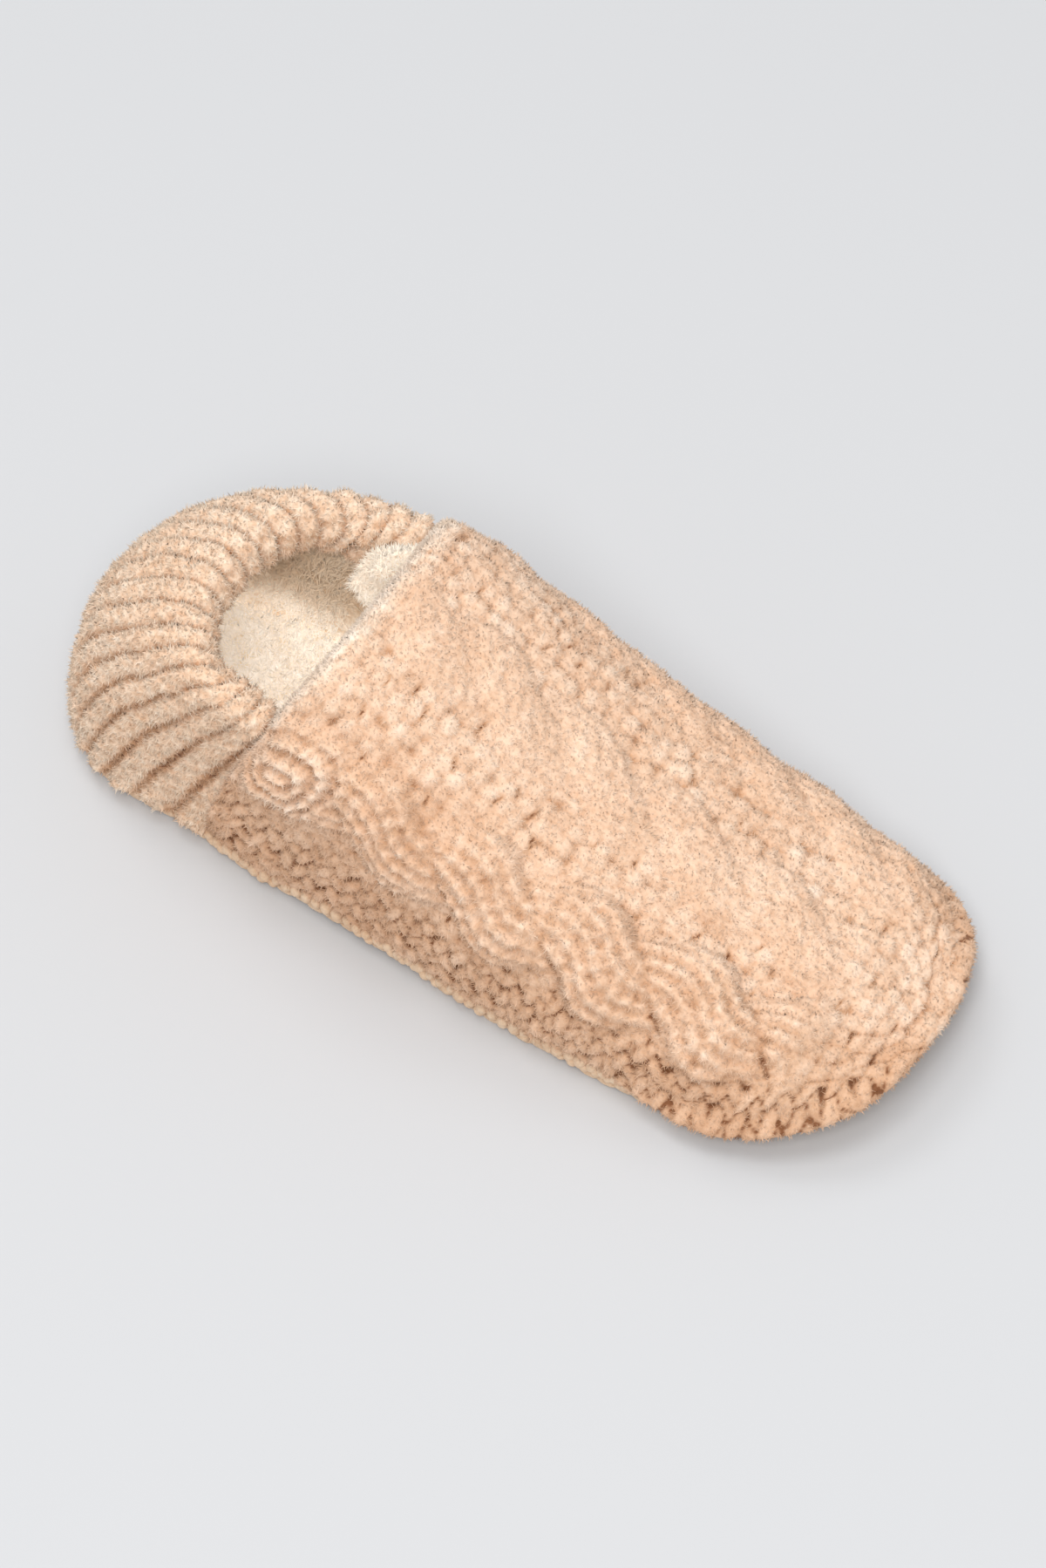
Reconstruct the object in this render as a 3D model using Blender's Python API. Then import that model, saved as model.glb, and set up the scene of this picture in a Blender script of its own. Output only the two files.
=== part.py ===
"""A knitted slipper sock: cable-knit front, ribbed heel with a rolled rim, cupped sole and footbed.

Frame: +X to the toe, +Z up, the wearer's right at -Y. The floor is z = 0. Lengths are in metres.
The origin is under the middle of the shoe. Inside the functions x runs from the back of the heel.
"""

import math

import bmesh
import bpy
from mathutils import Vector

# Driving sizes of the shoe
LENGTH = 0.256
BALL_WIDTH = 0.100
INSTEP_HEIGHT = 0.090
COLLAR_HEIGHT = 0.071

# Walls and gaps
WALL = 0.0068
HEM_WALL = 0.0105
SOLE_WALL = 0.0050
INSOLE_WALL = 0.0060
GAP = 0.0003

# Seam between front and heel, and the hem of the throat. The seam leans to the toe with its height,
# more so higher up, by the power SEAM_BOW
SEAM_X = 0.059
SEAM_LEAN = 0.035
SEAM_BOW = 1.35
HEM_DEPTH = 0.018
HEM_ROUND = 0.0060
CORNER_TUCK = 0.0030

# Sole: how high its cup stands at the side and at the toe, how far the toe and the arch lift,
# how far its edge stays inside the upper, and the rounding outside, inside and of the footbed
SIDE_RISE = 0.0060
TOE_RISE = 0.0100
TOE_SPRING = 0.0050
ARCH_LIFT = 0.0020
SOLE_INSET = 0.0020
SOLE_ROUND = 0.0070
SOLE_CORNER = 0.0020
TOE_STEP = 0.0022
INSOLE_PLAY = 0.0012
INSOLE_TAPER = 0.0010

# Where along the sole its forms start, and over how much they ease in, as shares of LENGTH
ARCH_FROM = 0.30
ARCH_TO = 0.56
ARCH_EASE = 0.10
SPRING_FROM = 0.86
TURN_UP_FROM = 0.84
TURN_UP_EASE = 0.15
STEP_FROM = 0.82
STEP_EASE = 0.12
PROUD_FROM = 0.20
PROUD_EASE = 0.12

# Heel: the back leans forward over the foot and ends in the rolled rim
COLLAR_LEAN = 0.0385
HEEL_TURN = 70.0
HEEL_SWELL = 0.8
RIM_SQUARE = 0.86
ROLL_RADIUS = 0.0057
ROLL_DEPTH = 0.017
RIBS = 19
RIB_HEIGHT = 0.0024
RIB_PLUMP = 0.7
RIM_WIDER = 0.0020
RIM_DROP = 0.0040

# Cables raised in the front: two-strand ropes at shares of the arch from the near side
CABLE_WIDTH = 0.022
CABLE_HEIGHT = 0.0036
CABLE_LEAF = 0.031
CABLE_FIRST = 0.027
CABLE_SHARES = (0.235, 0.49, 0.765)
CABLE_START = 0.008
CABLE_END = 0.018
STRAND_SWAY = 0.25
STRAND_REACH = 0.30
STRAND_OVER = 0.35

# Sections of the last: "along" is a share of LENGTH from the heel, "half_width" a share of half
# BALL_WIDTH, "top" a share of INSTEP_HEIGHT, and "square" the section's squareness (2 is round)
STATION_COLUMNS = ("along", "half_width", "top", "square")
STATIONS = (
    (0.00, 0.735, 1.00, 3.6),
    (0.18, 0.75, 1.00, 3.6),
    (0.32, 0.80, 1.00, 3.6),
    (0.37, 0.83, 1.00, 3.6),
    (0.44, 0.88, 0.91, 3.4),
    (0.52, 0.93, 0.78, 3.1),
    (0.60, 0.965, 0.655, 2.9),
    (0.76, 0.985, 0.465, 2.7),
    (0.87, 0.975, 0.360, 2.6),
    (0.95, 0.96, 0.305, 2.6),
    (1.00, 0.95, 0.285, 2.6),
)

# How far the front stands "proud" of the last, in metres
PROUD_COLUMNS = ("along", "proud")
PROUD = (
    (0.20, 0.0055),
    (0.36, 0.0040),
    (0.50, 0.0022),
    (1.00, 0.0014),
)

# Rounded ends in plan and the nose seen from the side: reach as a share of LENGTH, and bluntness
HEEL_CURVE = 0.14
HEEL_BLUNT = 2.3
TOE_CURVE = 0.20
TOE_BLUNT = 2.6
NOSE_CURVE = 0.09
NOSE_BLUNT = 2.2

# Grid counts
ROWS_BODY = 26
ROWS_TOE = 7
COLUMNS = 48
SIDE_COLUMNS = 3
ARCH_STEPS = 180
RIB_STEPS = 4
HEEL_ROWS = 7
INNER_ROWS = 4
ROW_SPREAD = 1.25
ROLL_STEPS = 5
OUTLINE_STEPS = 30
FLAT_COLUMNS = 8


def smooth(value):
    """A ramp from 0 to 1 with level ends."""
    value = min(max(value, 0.0), 1.0)
    return value * value * (3.0 - 2.0 * value)


def table(rows, columns, name, share):
    """Read a named column of a table at a share of the length, on a smooth curve through its rows."""
    column = columns.index(name)
    if share <= rows[0][0]:
        return rows[0][column]
    for index in range(len(rows) - 1):
        if share <= rows[index + 1][0]:
            break
    else:
        return rows[-1][column]
    before = rows[max(index - 1, 0)]
    low = rows[index]
    high = rows[index + 1]
    after = rows[min(index + 2, len(rows) - 1)]
    span = high[0] - low[0]
    t = (share - low[0]) / span
    slope_low = (high[column] - before[column]) / (high[0] - before[0]) * span
    slope_high = (after[column] - low[column]) / (after[0] - low[0]) * span
    a = 2.0 * t ** 3 - 3.0 * t ** 2 + 1.0
    b = t ** 3 - 2.0 * t ** 2 + t
    c = -2.0 * t ** 3 + 3.0 * t ** 2
    d = t ** 3 - t ** 2
    return a * low[column] + b * slope_low + c * high[column] + d * slope_high


def round_end(distance, reach, blunt):
    """Share of the full width at a distance from a rounded end."""
    t = 1.0 - min(max(distance / reach, 0.0), 1.0)
    return (1.0 - t ** blunt) ** (1.0 / blunt)


def station(name, x):
    """A size of the last's section at x."""
    return table(STATIONS, STATION_COLUMNS, name, x / LENGTH)


def proud(x):
    """How far the front stands outside the last at x."""
    return table(PROUD, PROUD_COLUMNS, "proud", x / LENGTH)


def last_half_width(x):
    """Half width of the last, closed round at heel and toe."""
    width = station("half_width", x) * BALL_WIDTH / 2.0
    width *= round_end(x - RIB_HEIGHT, HEEL_CURVE * LENGTH, HEEL_BLUNT)
    return width * round_end(LENGTH - x, TOE_CURVE * LENGTH, TOE_BLUNT)


def sole_bottom(x):
    """Underside of the sole: flat under heel and forefoot, lifted at the arch and the toe."""
    share = x / LENGTH
    arch = smooth((share - ARCH_FROM) / ARCH_EASE) * smooth((ARCH_TO - share) / ARCH_EASE)
    spring = max(share - SPRING_FROM, 0.0) / (1.0 - SPRING_FROM)
    return ARCH_LIFT * arch + TOE_SPRING * spring ** 2


def sole_edge(x):
    """Height of the top of the sole's cup: it follows the underside and turns up at the toe."""
    turn_up = smooth((x / LENGTH - TURN_UP_FROM) / TURN_UP_EASE)
    return sole_bottom(x) + SIDE_RISE + (TOE_RISE - SIDE_RISE) * turn_up


def seam_x(z):
    """Where front and heel meet at a height: the seam leans towards the toe."""
    return SEAM_X + SEAM_LEAN * (max(z, 0.0) / INSTEP_HEIGHT) ** SEAM_BOW


def resample(points, shares):
    """Points at given shares of a polyline's length."""
    lengths = [0.0]
    for a, b in zip(points, points[1:]):
        lengths.append(lengths[-1] + (b - a).length)
    found = []
    index = 0
    for share in shares:
        target = share * lengths[-1]
        while index < len(points) - 2 and lengths[index + 1] < target:
            index += 1
        span = max(lengths[index + 1] - lengths[index], 1e-9)
        t = (target - lengths[index]) / span
        found.append(points[index].lerp(points[index + 1], t))
    return found


def corner_tuck(x, height):
    """How far the front's lower back corner is drawn in, at a height over its foot."""
    return CORNER_TUCK * (1.0 - smooth((x - SEAM_X) / HEM_DEPTH)) * math.exp(-height / HEM_ROUND)


def front_section(x, shares):
    """The front's arch at x: (y, z) at shares of its length, from the near base over the top."""
    base = sole_edge(x) + GAP
    nose = round_end(LENGTH - x, NOSE_CURVE * LENGTH, NOSE_BLUNT)
    top = base + (station("top", x) * INSTEP_HEIGHT - base) * nose
    half = last_half_width(x) + proud(x) * round_end(LENGTH - x, TOE_CURVE * LENGTH, 2.0)
    power = 2.0 / station("square", x)
    points = []
    for step in range(ARCH_STEPS + 1):
        angle = math.pi * step / ARCH_STEPS
        rise = math.sin(angle) ** power if 0 < step < ARCH_STEPS else 0.0
        y = -half * math.copysign(abs(math.cos(angle)) ** power, math.cos(angle))
        z = base + (top - base) * rise
        tuck = SOLE_INSET * math.exp(-(z - base) / HEM_ROUND) + corner_tuck(x, z - base)
        y -= math.copysign(min(tuck, abs(y)), y) * (1.0 - rise)
        points.append(Vector((0.0, y, z)))
    return resample(points, shares)


def front_rows():
    """Shares from the seam (0) to the toe tip (1): close at the hem and at the toe, even between."""
    reach = LENGTH - SEAM_X
    hem = [0.0, 0.10 * HEM_ROUND, 0.45 * HEM_ROUND, HEM_ROUND]
    rows = [value / reach for value in hem]
    toe_start = 1.0 - NOSE_CURVE * LENGTH / reach
    start = rows[-1]
    for step in range(1, ROWS_BODY + 1):
        rows.append(start + (toe_start - start) * step / ROWS_BODY)
    for step in range(1, ROWS_TOE + 1):
        turn = math.sin(math.pi / 2.0 * step / ROWS_TOE)
        rows.append(toe_start + (1.0 - toe_start) * turn)
    return rows


def front_grid():
    """The front's base surface as rows of points from seam to toe tip."""
    shares = [step / COLUMNS for step in range(COLUMNS + 1)]
    grid = []
    for share in front_rows():
        row = []
        for across in shares:
            x = SEAM_X + (LENGTH - SEAM_X) * share
            for _ in range(3):
                point = front_section(min(x, LENGTH), [across])[0]
                edge = seam_x(point.z) + GAP / 2.0
                x = edge + (LENGTH - edge) * share
            row.append(Vector((x, point.y, point.z)))
        grid.append(row)
    return grid


def grid_normals(grid):
    """Outward normals of a grid by its neighbours."""
    normals = []
    last_row = len(grid) - 1
    last_column = len(grid[0]) - 1
    for i, row in enumerate(grid):
        line = []
        for j in range(len(row)):
            along = grid[min(i + 1, last_row)][j] - grid[max(i - 1, 0)][j]
            across = row[min(j + 1, last_column)] - row[max(j - 1, 0)]
            if across.length < 1e-7:
                line.append(Vector((1.0, 0.0, 0.0)))
                continue
            line.append(along.cross(across).normalized())
        normals.append(line)
    return normals


def cable_rise(distance, to_toe, offset):
    """Height of a rope cable above the knit, at a distance from the seam and an offset to the far side.

    The strand that crosses to the far side lies on top, and the one that comes back dives under it.
    """
    fade = smooth((distance - CABLE_START) / HEM_DEPTH) * smooth((to_toe - CABLE_END) / HEM_DEPTH)
    rise = 0.0
    for strand in (0.0, 1.0):
        turn = math.pi * ((distance - CABLE_FIRST) / CABLE_LEAF + strand)
        middle = STRAND_SWAY * CABLE_WIDTH * math.cos(turn)
        over = 1.0 - STRAND_OVER * (1.0 + math.sin(turn))
        reach = abs(offset - middle) / (STRAND_REACH * CABLE_WIDTH)
        if reach < 1.0:
            rise = max(rise, over * math.sqrt(1.0 - reach * reach))
    return CABLE_HEIGHT * rise * fade


def mesh_object(name, bm, colour, roughness):
    """Make a smooth-shaded object with its own Principled material."""
    for vertex in bm.verts:
        vertex.co.x -= LENGTH / 2.0
    bmesh.ops.recalc_face_normals(bm, faces=bm.faces)
    mesh = bpy.data.meshes.new(name)
    bm.to_mesh(mesh)
    bm.free()
    mesh.shade_smooth()
    mesh.set_sharp_from_angle(angle=math.radians(50.0))
    material = bpy.data.materials.new(name)
    material.use_nodes = True
    shader = material.node_tree.nodes["Principled BSDF"]
    shader.inputs["Base Color"].default_value = (*colour, 1.0)
    shader.inputs["Roughness"].default_value = roughness
    shader.inputs["Metallic"].default_value = 0.0
    mesh.materials.append(material)
    obj = bpy.data.objects.new(name, mesh)
    bpy.context.collection.objects.link(obj)
    return obj


def add_grid(bm, rows, flip=False):
    """Join rows of vertices with faces, leaving out faces that a shared point closes up."""
    for low, high in zip(rows, rows[1:]):
        for j in range(len(low) - 1):
            corners = [low[j], low[j + 1], high[j + 1], high[j]]
            ring = [v for k, v in enumerate(corners) if v is not corners[k - 1]]
            if len(ring) > 2:
                bm.faces.new(ring[::-1] if flip else ring)


def footbed_top(x):
    """Height of the footbed's upper side."""
    return sole_bottom(x) + SOLE_WALL + GAP + INSOLE_WALL


def vamp_wall(point, distance, foot):
    """Thickness of the front's wall: thicker in the hem, from above the footbed up."""
    hem = 1.0 - smooth((distance - 0.7 * HEM_DEPTH) / (0.5 * HEM_DEPTH))
    hem *= smooth((point.z - footbed_top(point.x)) / HEM_DEPTH)
    return WALL + (HEM_WALL - WALL) * hem - corner_tuck(point.x, point.z - foot)


def hem_drop(distance):
    """How far the hem's outer edge is rounded off, at a distance from the seam."""
    if distance >= HEM_ROUND:
        return 0.0
    return HEM_ROUND - math.sqrt(max(HEM_ROUND ** 2 - (HEM_ROUND - distance) ** 2, 0.0))


def vamp_surfaces():
    """Outer and inner points of the front, row by row from the seam to the toe."""
    grid = front_grid()
    normals = grid_normals(grid)
    travel = [0.0] * (COLUMNS + 1)
    outer = []
    inner = []
    for i, row in enumerate(grid):
        arch = sum((b - a).length for a, b in zip(row, row[1:]))
        outer_row = []
        inner_row = []
        for j, point in enumerate(row):
            if i > 0:
                travel[j] += (point - grid[i - 1][j]).length
            distance = point.x - seam_x(point.z)
            share = distance / (LENGTH - seam_x(point.z))
            normal = normals[i][j].copy()
            normal.x *= smooth((share - HEM_DEPTH / LENGTH) / NOSE_CURVE)
            if j in (0, COLUMNS):
                normal.z = 0.0
            normal.normalize()
            side = smooth(min(j, COLUMNS - j) / SIDE_COLUMNS)
            rise = 0.0
            for centre in CABLE_SHARES:
                offset = (j / COLUMNS - centre) * arch
                rise += cable_rise(travel[j], LENGTH - point.x, offset) * side
            outside = point + normal * (rise - hem_drop(distance) * side)
            inside = point - normal * vamp_wall(point, distance, row[0].z)
            if i == 0:
                outside.x = seam_x(outside.z) + GAP / 2.0
                inside.x = seam_x(inside.z) + GAP / 2.0
            outer_row.append(outside)
            inner_row.append(inside)
        outer.append(outer_row)
        inner.append(inner_row)
    return outer, inner


def make_vamp():
    """The cable-knit front: a hollow shell with a thick rounded hem at the throat."""
    outer, inner = vamp_surfaces()
    bm = bmesh.new()
    outer_verts = [[bm.verts.new(p) for p in row] for row in outer[:-1]]
    inner_verts = [[bm.verts.new(p) for p in row] for row in inner[:-1]]
    tip = Vector((LENGTH, 0.0, sole_edge(LENGTH) + GAP))
    outer_verts.append([bm.verts.new(tip)] * (COLUMNS + 1))
    inner_verts.append([bm.verts.new(tip - Vector((WALL, 0.0, 0.0)))] * (COLUMNS + 1))
    add_grid(bm, outer_verts)
    add_grid(bm, inner_verts, flip=True)
    add_grid(bm, [outer_verts[0], inner_verts[0]], flip=True)
    close_rims(bm, outer_verts, inner_verts)
    return mesh_object("upper_vamp", bm, (0.82, 0.55, 0.38), 0.9)


def collar_top():
    """Height at which the heel's wall ends and the rim starts to roll, at the back."""
    return COLLAR_HEIGHT - RIB_PLUMP * ROLL_RADIUS


def heel_lines():
    """Base line and rim line of the heel in plan, from the near seam round the back."""
    columns = RIBS * RIB_STEPS
    shares = [step / columns for step in range(columns + 1)]
    end = seam_x(SIDE_RISE + GAP)
    rim_end = seam_x(collar_top() - RIM_DROP)
    rim_half = last_half_width(SEAM_X) + RIM_WIDER
    base = []
    rim = []
    for step in range(-90, 91):
        angle = math.radians(step)
        x = RIB_HEIGHT + (end - RIB_HEIGHT) * (1.0 - math.cos(angle))
        base.append(Vector((x, math.copysign(last_half_width(x), step), 0.0)))
        x = rim_end - (rim_end - COLLAR_LEAN) * math.cos(angle) ** RIM_SQUARE
        y = math.copysign(rim_half * abs(math.sin(angle)) ** RIM_SQUARE, step)
        rim.append(Vector((x, y, 0.0)))
    return resample(base, shares), resample(rim, shares), shares


def heel_wall(columns_base, columns_rim, shares):
    """The heel's outer surface, row by row from the sole to where the rim starts to roll."""
    base_z = SIDE_RISE + GAP
    height = collar_top() - base_z
    end_angle = math.radians(HEEL_TURN)
    full = 1.0 - math.cos(end_angle) ** HEEL_SWELL
    grid = []
    for step in range(HEEL_ROWS + 1):
        angle = end_angle * (step / HEEL_ROWS) ** ROW_SPREAD
        inward = (1.0 - math.cos(angle) ** HEEL_SWELL) / full
        row = []
        for base, rim, share in zip(columns_base, columns_rim, shares):
            edge = abs(2.0 * share - 1.0) ** 2
            top = height - RIM_DROP * edge
            z = base_z + top * (math.sin(angle) / math.sin(end_angle)) ** HEEL_SWELL
            lean = (seam_x(z) - seam_x(base_z)) / (seam_x(base_z + top) - seam_x(base_z))
            forward = inward * (1.0 - edge) + lean * edge
            x = base.x + (rim.x - base.x) * forward
            y = base.y + (rim.y - base.y) * inward
            row.append(Vector((x, y, z)))
        grid.append(row)
    return grid


def wall_normal(normals, i, j):
    """Outward normal of the heel's wall, level at its foot."""
    normal = normals[i][j].copy()
    if i == 0:
        normal.z = 0.0
    return normal.normalized()


def roll_points(top, below, normal, rib):
    """The rolled rim: half a turn from the outer side over the top to the inner side."""
    tangent = (top - below).normalized()
    tangent = (tangent - normal * tangent.dot(normal)).normalized()
    centre = top - normal * ROLL_RADIUS
    points = []
    for step in range(1, ROLL_STEPS + 1):
        angle = math.pi * step / ROLL_STEPS
        around = normal * math.cos(angle) + tangent * math.sin(angle)
        points.append(centre + around * (ROLL_RADIUS + rib))
    return points


def fold_points(grid, normals, j, rib):
    """The rim's hem, folded down inside the heel and ending in a step to the plain wall."""
    lengths = [0.0]
    for i in range(HEEL_ROWS, 0, -1):
        lengths.append(lengths[-1] + (grid[i][j] - grid[i - 1][j]).length)
    fold = 2.0 * ROLL_RADIUS
    points = []
    for depth, thickness, ribbed in (
        (0.45, fold, 1.0),
        (0.90, fold, 0.7),
        (1.00, 0.5 * (fold + WALL), 0.0),
        (1.05, WALL, 0.0),
    ):
        target = depth * ROLL_DEPTH
        k = max(index for index, value in enumerate(lengths[:-1]) if value <= target)
        t = (target - lengths[k]) / (lengths[k + 1] - lengths[k])
        i = HEEL_ROWS - k
        point = grid[i][j].lerp(grid[i - 1][j], t)
        outward = normals[i][j].lerp(normals[i - 1][j], t).normalized()
        points.append(point - outward * (thickness + rib * ribbed))
    return points


def heel_column(grid, normals, j, share):
    """One upright line round the heel's wall: up outside, over the rim, down inside."""
    rib = RIB_HEIGHT * (0.5 - 0.5 * math.cos(2.0 * math.pi * RIBS * share)) ** RIB_PLUMP
    column = []
    for i in range(HEEL_ROWS + 1):
        column.append(grid[i][j] + wall_normal(normals, i, j) * rib)
    column += roll_points(grid[-1][j], grid[-2][j], normals[-1][j], rib)
    column += fold_points(grid, normals, j, rib)
    for i in range(INNER_ROWS - 1, -1, -1):
        column.append(grid[i][j] - wall_normal(normals, i, j) * WALL)
    return column


def make_heel_collar():
    """The ribbed heel with its rolled rim and the hem folded down inside it."""
    columns_base, columns_rim, shares = heel_lines()
    grid = heel_wall(columns_base, columns_rim, shares)
    normals = grid_normals(grid)
    columns = [heel_column(grid, normals, j, share) for j, share in enumerate(shares)]
    for column in (columns[0], columns[-1]):
        for point in column:
            point.x = seam_x(point.z) - GAP / 2.0
    bm = bmesh.new()
    verts = [[bm.verts.new(p) for p in column] for column in columns]
    for column in verts:
        column.append(column[0])
    add_grid(bm, verts)
    for column in (verts[0], verts[-1]):
        close_end(bm, column[:-1])
    return mesh_object("heel_collar", bm, (0.72, 0.47, 0.31), 0.9)


def close_end(bm, column):
    """Close an open end of the heel's wall, pairing its outer points with its inner ones."""
    low = 0
    high = len(column) - 1
    while high - low > 2:
        bm.faces.new((column[low], column[low + 1], column[high - 1], column[high]))
        low += 1
        high -= 1
    if high - low == 2:
        bm.faces.new((column[low], column[low + 1], column[high]))


def sole_reach(x):
    """How far the upper's foot stands outside the last: level at the heel, proud under the front."""
    step = smooth((x / LENGTH - PROUD_FROM) / PROUD_EASE)
    return (proud(x) - SOLE_INSET) * step * round_end(LENGTH - x, TOE_CURVE * LENGTH, 2.0)


def foot_outline(inset):
    """Near half of the upper's foot, heel to toe, moved in at right angles by an inset."""
    places = []
    for i in range(OUTLINE_STEPS + 1):
        turn = math.pi * i / OUTLINE_STEPS
        x = RIB_HEIGHT + (LENGTH - RIB_HEIGHT) * 0.5 * (1.0 - math.cos(turn))
        half = last_half_width(x) + sole_reach(x) if 0 < i < OUTLINE_STEPS else 0.0
        places.append(Vector((x, -half, 0.0)))
    moved = []
    for i, place in enumerate(places):
        if i in (0, OUTLINE_STEPS):
            normal = Vector((-1.0 if i == 0 else 1.0, 0.0, 0.0))
        else:
            along = places[i + 1] - places[i - 1]
            normal = Vector((along.y, -along.x, 0.0)).normalized()
        under_toe = TOE_STEP * smooth((place.x / LENGTH - STEP_FROM) / STEP_EASE)
        moved.append(place - normal * (inset + under_toe))
    return moved


def ring_rows(bm, profile):
    """Rows across the foot. The profile lists (inset, height function) from the rim to the flat."""
    lines = [foot_outline(inset) for inset, height in profile]
    rows = []
    for i in range(OUTLINE_STEPS + 1):
        tip = i in (0, OUTLINE_STEPS)
        near = []
        far = []
        for (inset, height), line in zip(profile, lines):
            point = line[i].copy()
            if tip:
                point.y = 0.0
            point.y = min(point.y, 0.0)
            point.z = height(lines[0][i].x, point.x)
            near.append(bm.verts.new(point))
            if tip:
                far.append(near[-1])
            else:
                far.append(bm.verts.new((point.x, -point.y, point.z)))
        middle = []
        for k in range(1, FLAT_COLUMNS):
            if tip:
                middle.append(near[-1])
                continue
            t = k / FLAT_COLUMNS
            co = near[-1].co.lerp(far[-1].co, t)
            middle.append(bm.verts.new(co))
        rows.append(near + middle + far[::-1])
    return rows


def close_rims(bm, outer, inner):
    """Join the rim of an outer form to the rim of an inner form."""
    for side in (0, -1):
        add_grid(bm, [[row[side] for row in outer], [row[side] for row in inner]])


def make_sole():
    """The cupped sole, with real flats under heel and forefoot."""

    def underside(share):
        def height(rim_x, x):
            bottom = sole_bottom(x)
            return bottom + (sole_edge(rim_x) - bottom) * share
        return height

    def floor(share):
        def height(rim_x, x):
            low = sole_bottom(x) + SOLE_WALL
            return low + (max(sole_edge(rim_x), low) - low) * share
        return height

    outer_profile = []
    for step in range(4):
        angle = math.pi / 2.0 * step / 3.0
        inset = SOLE_ROUND * (1.0 - math.cos(angle)) + GAP
        outer_profile.append((inset, underside(1.0 - math.sin(angle))))
    inner_profile = []
    for step in range(3):
        angle = math.pi / 2.0 * step / 2.0
        inset = SOLE_WALL + SOLE_CORNER * (1.0 - math.cos(angle))
        inner_profile.append((inset, floor(1.0 - math.sin(angle))))
    bm = bmesh.new()
    outer = ring_rows(bm, outer_profile)
    inner = ring_rows(bm, inner_profile)
    add_grid(bm, outer)
    add_grid(bm, inner, flip=True)
    close_rims(bm, outer, inner)
    return mesh_object("sole", bm, (0.72, 0.49, 0.33), 0.95)


def make_insole():
    """The footbed: a soft pad that fills the foot of the upper and rests on the sole."""

    def top(drop):
        def height(_, x):
            return footbed_top(x) - drop
        return height

    def under(_, x):
        return sole_bottom(x) + SOLE_WALL + GAP

    bm = bmesh.new()
    inset = WALL + INSOLE_PLAY
    soft = 0.5 * INSOLE_WALL
    lower = ring_rows(bm, [(inset + INSOLE_TAPER, under)])
    rounding = ((0.0, 1.0), (0.3, 0.3), (1.0, 0.0))
    upper = ring_rows(bm, [(inset + a * soft, top(b * soft)) for a, b in rounding])
    add_grid(bm, upper)
    add_grid(bm, lower, flip=True)
    close_rims(bm, upper, lower)
    return mesh_object("insole", bm, (0.86, 0.72, 0.58), 1.0)


def main():
    """Clear the scene and make every piece."""
    for obj in list(bpy.data.objects):
        bpy.data.objects.remove(obj, do_unlink=True)
    make_vamp()
    make_heel_collar()
    make_sole()
    make_insole()


main()
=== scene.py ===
# %% [markdown]
# # A cable-knit slipper sock
#
# The real thing is knitted from chenille, a yarn whose short pile makes every stitch plump and velvety.
# Three rope cables run along the front, the heel is a deep rib that rolls over into a soft rim, and the
# inside is brushed pile. The plain solids come in as a frame. Everything below is laid on them.

import math

import bmesh
import bpy
import numpy as np
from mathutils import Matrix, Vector


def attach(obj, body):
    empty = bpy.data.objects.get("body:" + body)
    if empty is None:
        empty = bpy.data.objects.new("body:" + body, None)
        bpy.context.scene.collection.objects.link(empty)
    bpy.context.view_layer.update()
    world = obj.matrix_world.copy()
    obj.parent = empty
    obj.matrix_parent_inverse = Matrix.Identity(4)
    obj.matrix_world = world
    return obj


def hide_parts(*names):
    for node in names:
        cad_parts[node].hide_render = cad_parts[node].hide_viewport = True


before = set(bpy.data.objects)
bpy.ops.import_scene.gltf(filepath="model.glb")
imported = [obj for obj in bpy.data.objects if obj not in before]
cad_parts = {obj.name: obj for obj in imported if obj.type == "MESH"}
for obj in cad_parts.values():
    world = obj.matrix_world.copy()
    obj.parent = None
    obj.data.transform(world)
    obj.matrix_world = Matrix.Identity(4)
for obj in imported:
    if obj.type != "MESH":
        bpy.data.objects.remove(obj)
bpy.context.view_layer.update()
print("frame nodes:", sorted(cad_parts))

# %% [markdown]
# ## Sizes
#
# The stitches must lie on the solids, so this cell names the same sizes that shape them. A table row is one
# section of the foot form: how far along it is, how wide, how high and how square. Reading a table on a
# smooth curve gives a soft shape from a few rows, which is easier to change than a list of points.

# %% Sizes of the shoe
LENGTH = 0.256
BALL_WIDTH = 0.100
INSTEP_HEIGHT = 0.090
COLLAR_HEIGHT = 0.071
WALL = 0.0068
SEAM_X = 0.059
SEAM_LEAN = 0.035
SEAM_BOW = 1.35
SIDE_RISE = 0.0060
TOE_RISE = 0.0100
TOE_SPRING = 0.0050
ARCH_LIFT = 0.0020
SOLE_INSET = 0.0020
SOLE_TOP = 0.0113
HEEL_TIP = 0.0024
GAP = 0.0003
COLUMNS = ("along", "half_width", "top", "square", "proud")
SECTIONS = (
    (0.00, 0.735, 1.000, 3.6, 0.0055),
    (0.18, 0.750, 1.000, 3.6, 0.0055),
    (0.32, 0.800, 1.000, 3.6, 0.0044),
    (0.37, 0.830, 1.000, 3.6, 0.0039),
    (0.44, 0.880, 0.910, 3.4, 0.0030),
    (0.52, 0.930, 0.780, 3.1, 0.0021),
    (0.60, 0.965, 0.655, 2.9, 0.0020),
    (0.76, 0.985, 0.465, 2.7, 0.0018),
    (0.87, 0.975, 0.360, 2.6, 0.0016),
    (0.95, 0.960, 0.305, 2.6, 0.0015),
    (1.00, 0.950, 0.285, 2.6, 0.0014),
)
TABLE = np.array(SECTIONS)


def smooth(value):
    """A ramp from 0 to 1 with level ends."""
    value = np.clip(value, 0.0, 1.0)
    return value * value * (3.0 - 2.0 * value)


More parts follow.
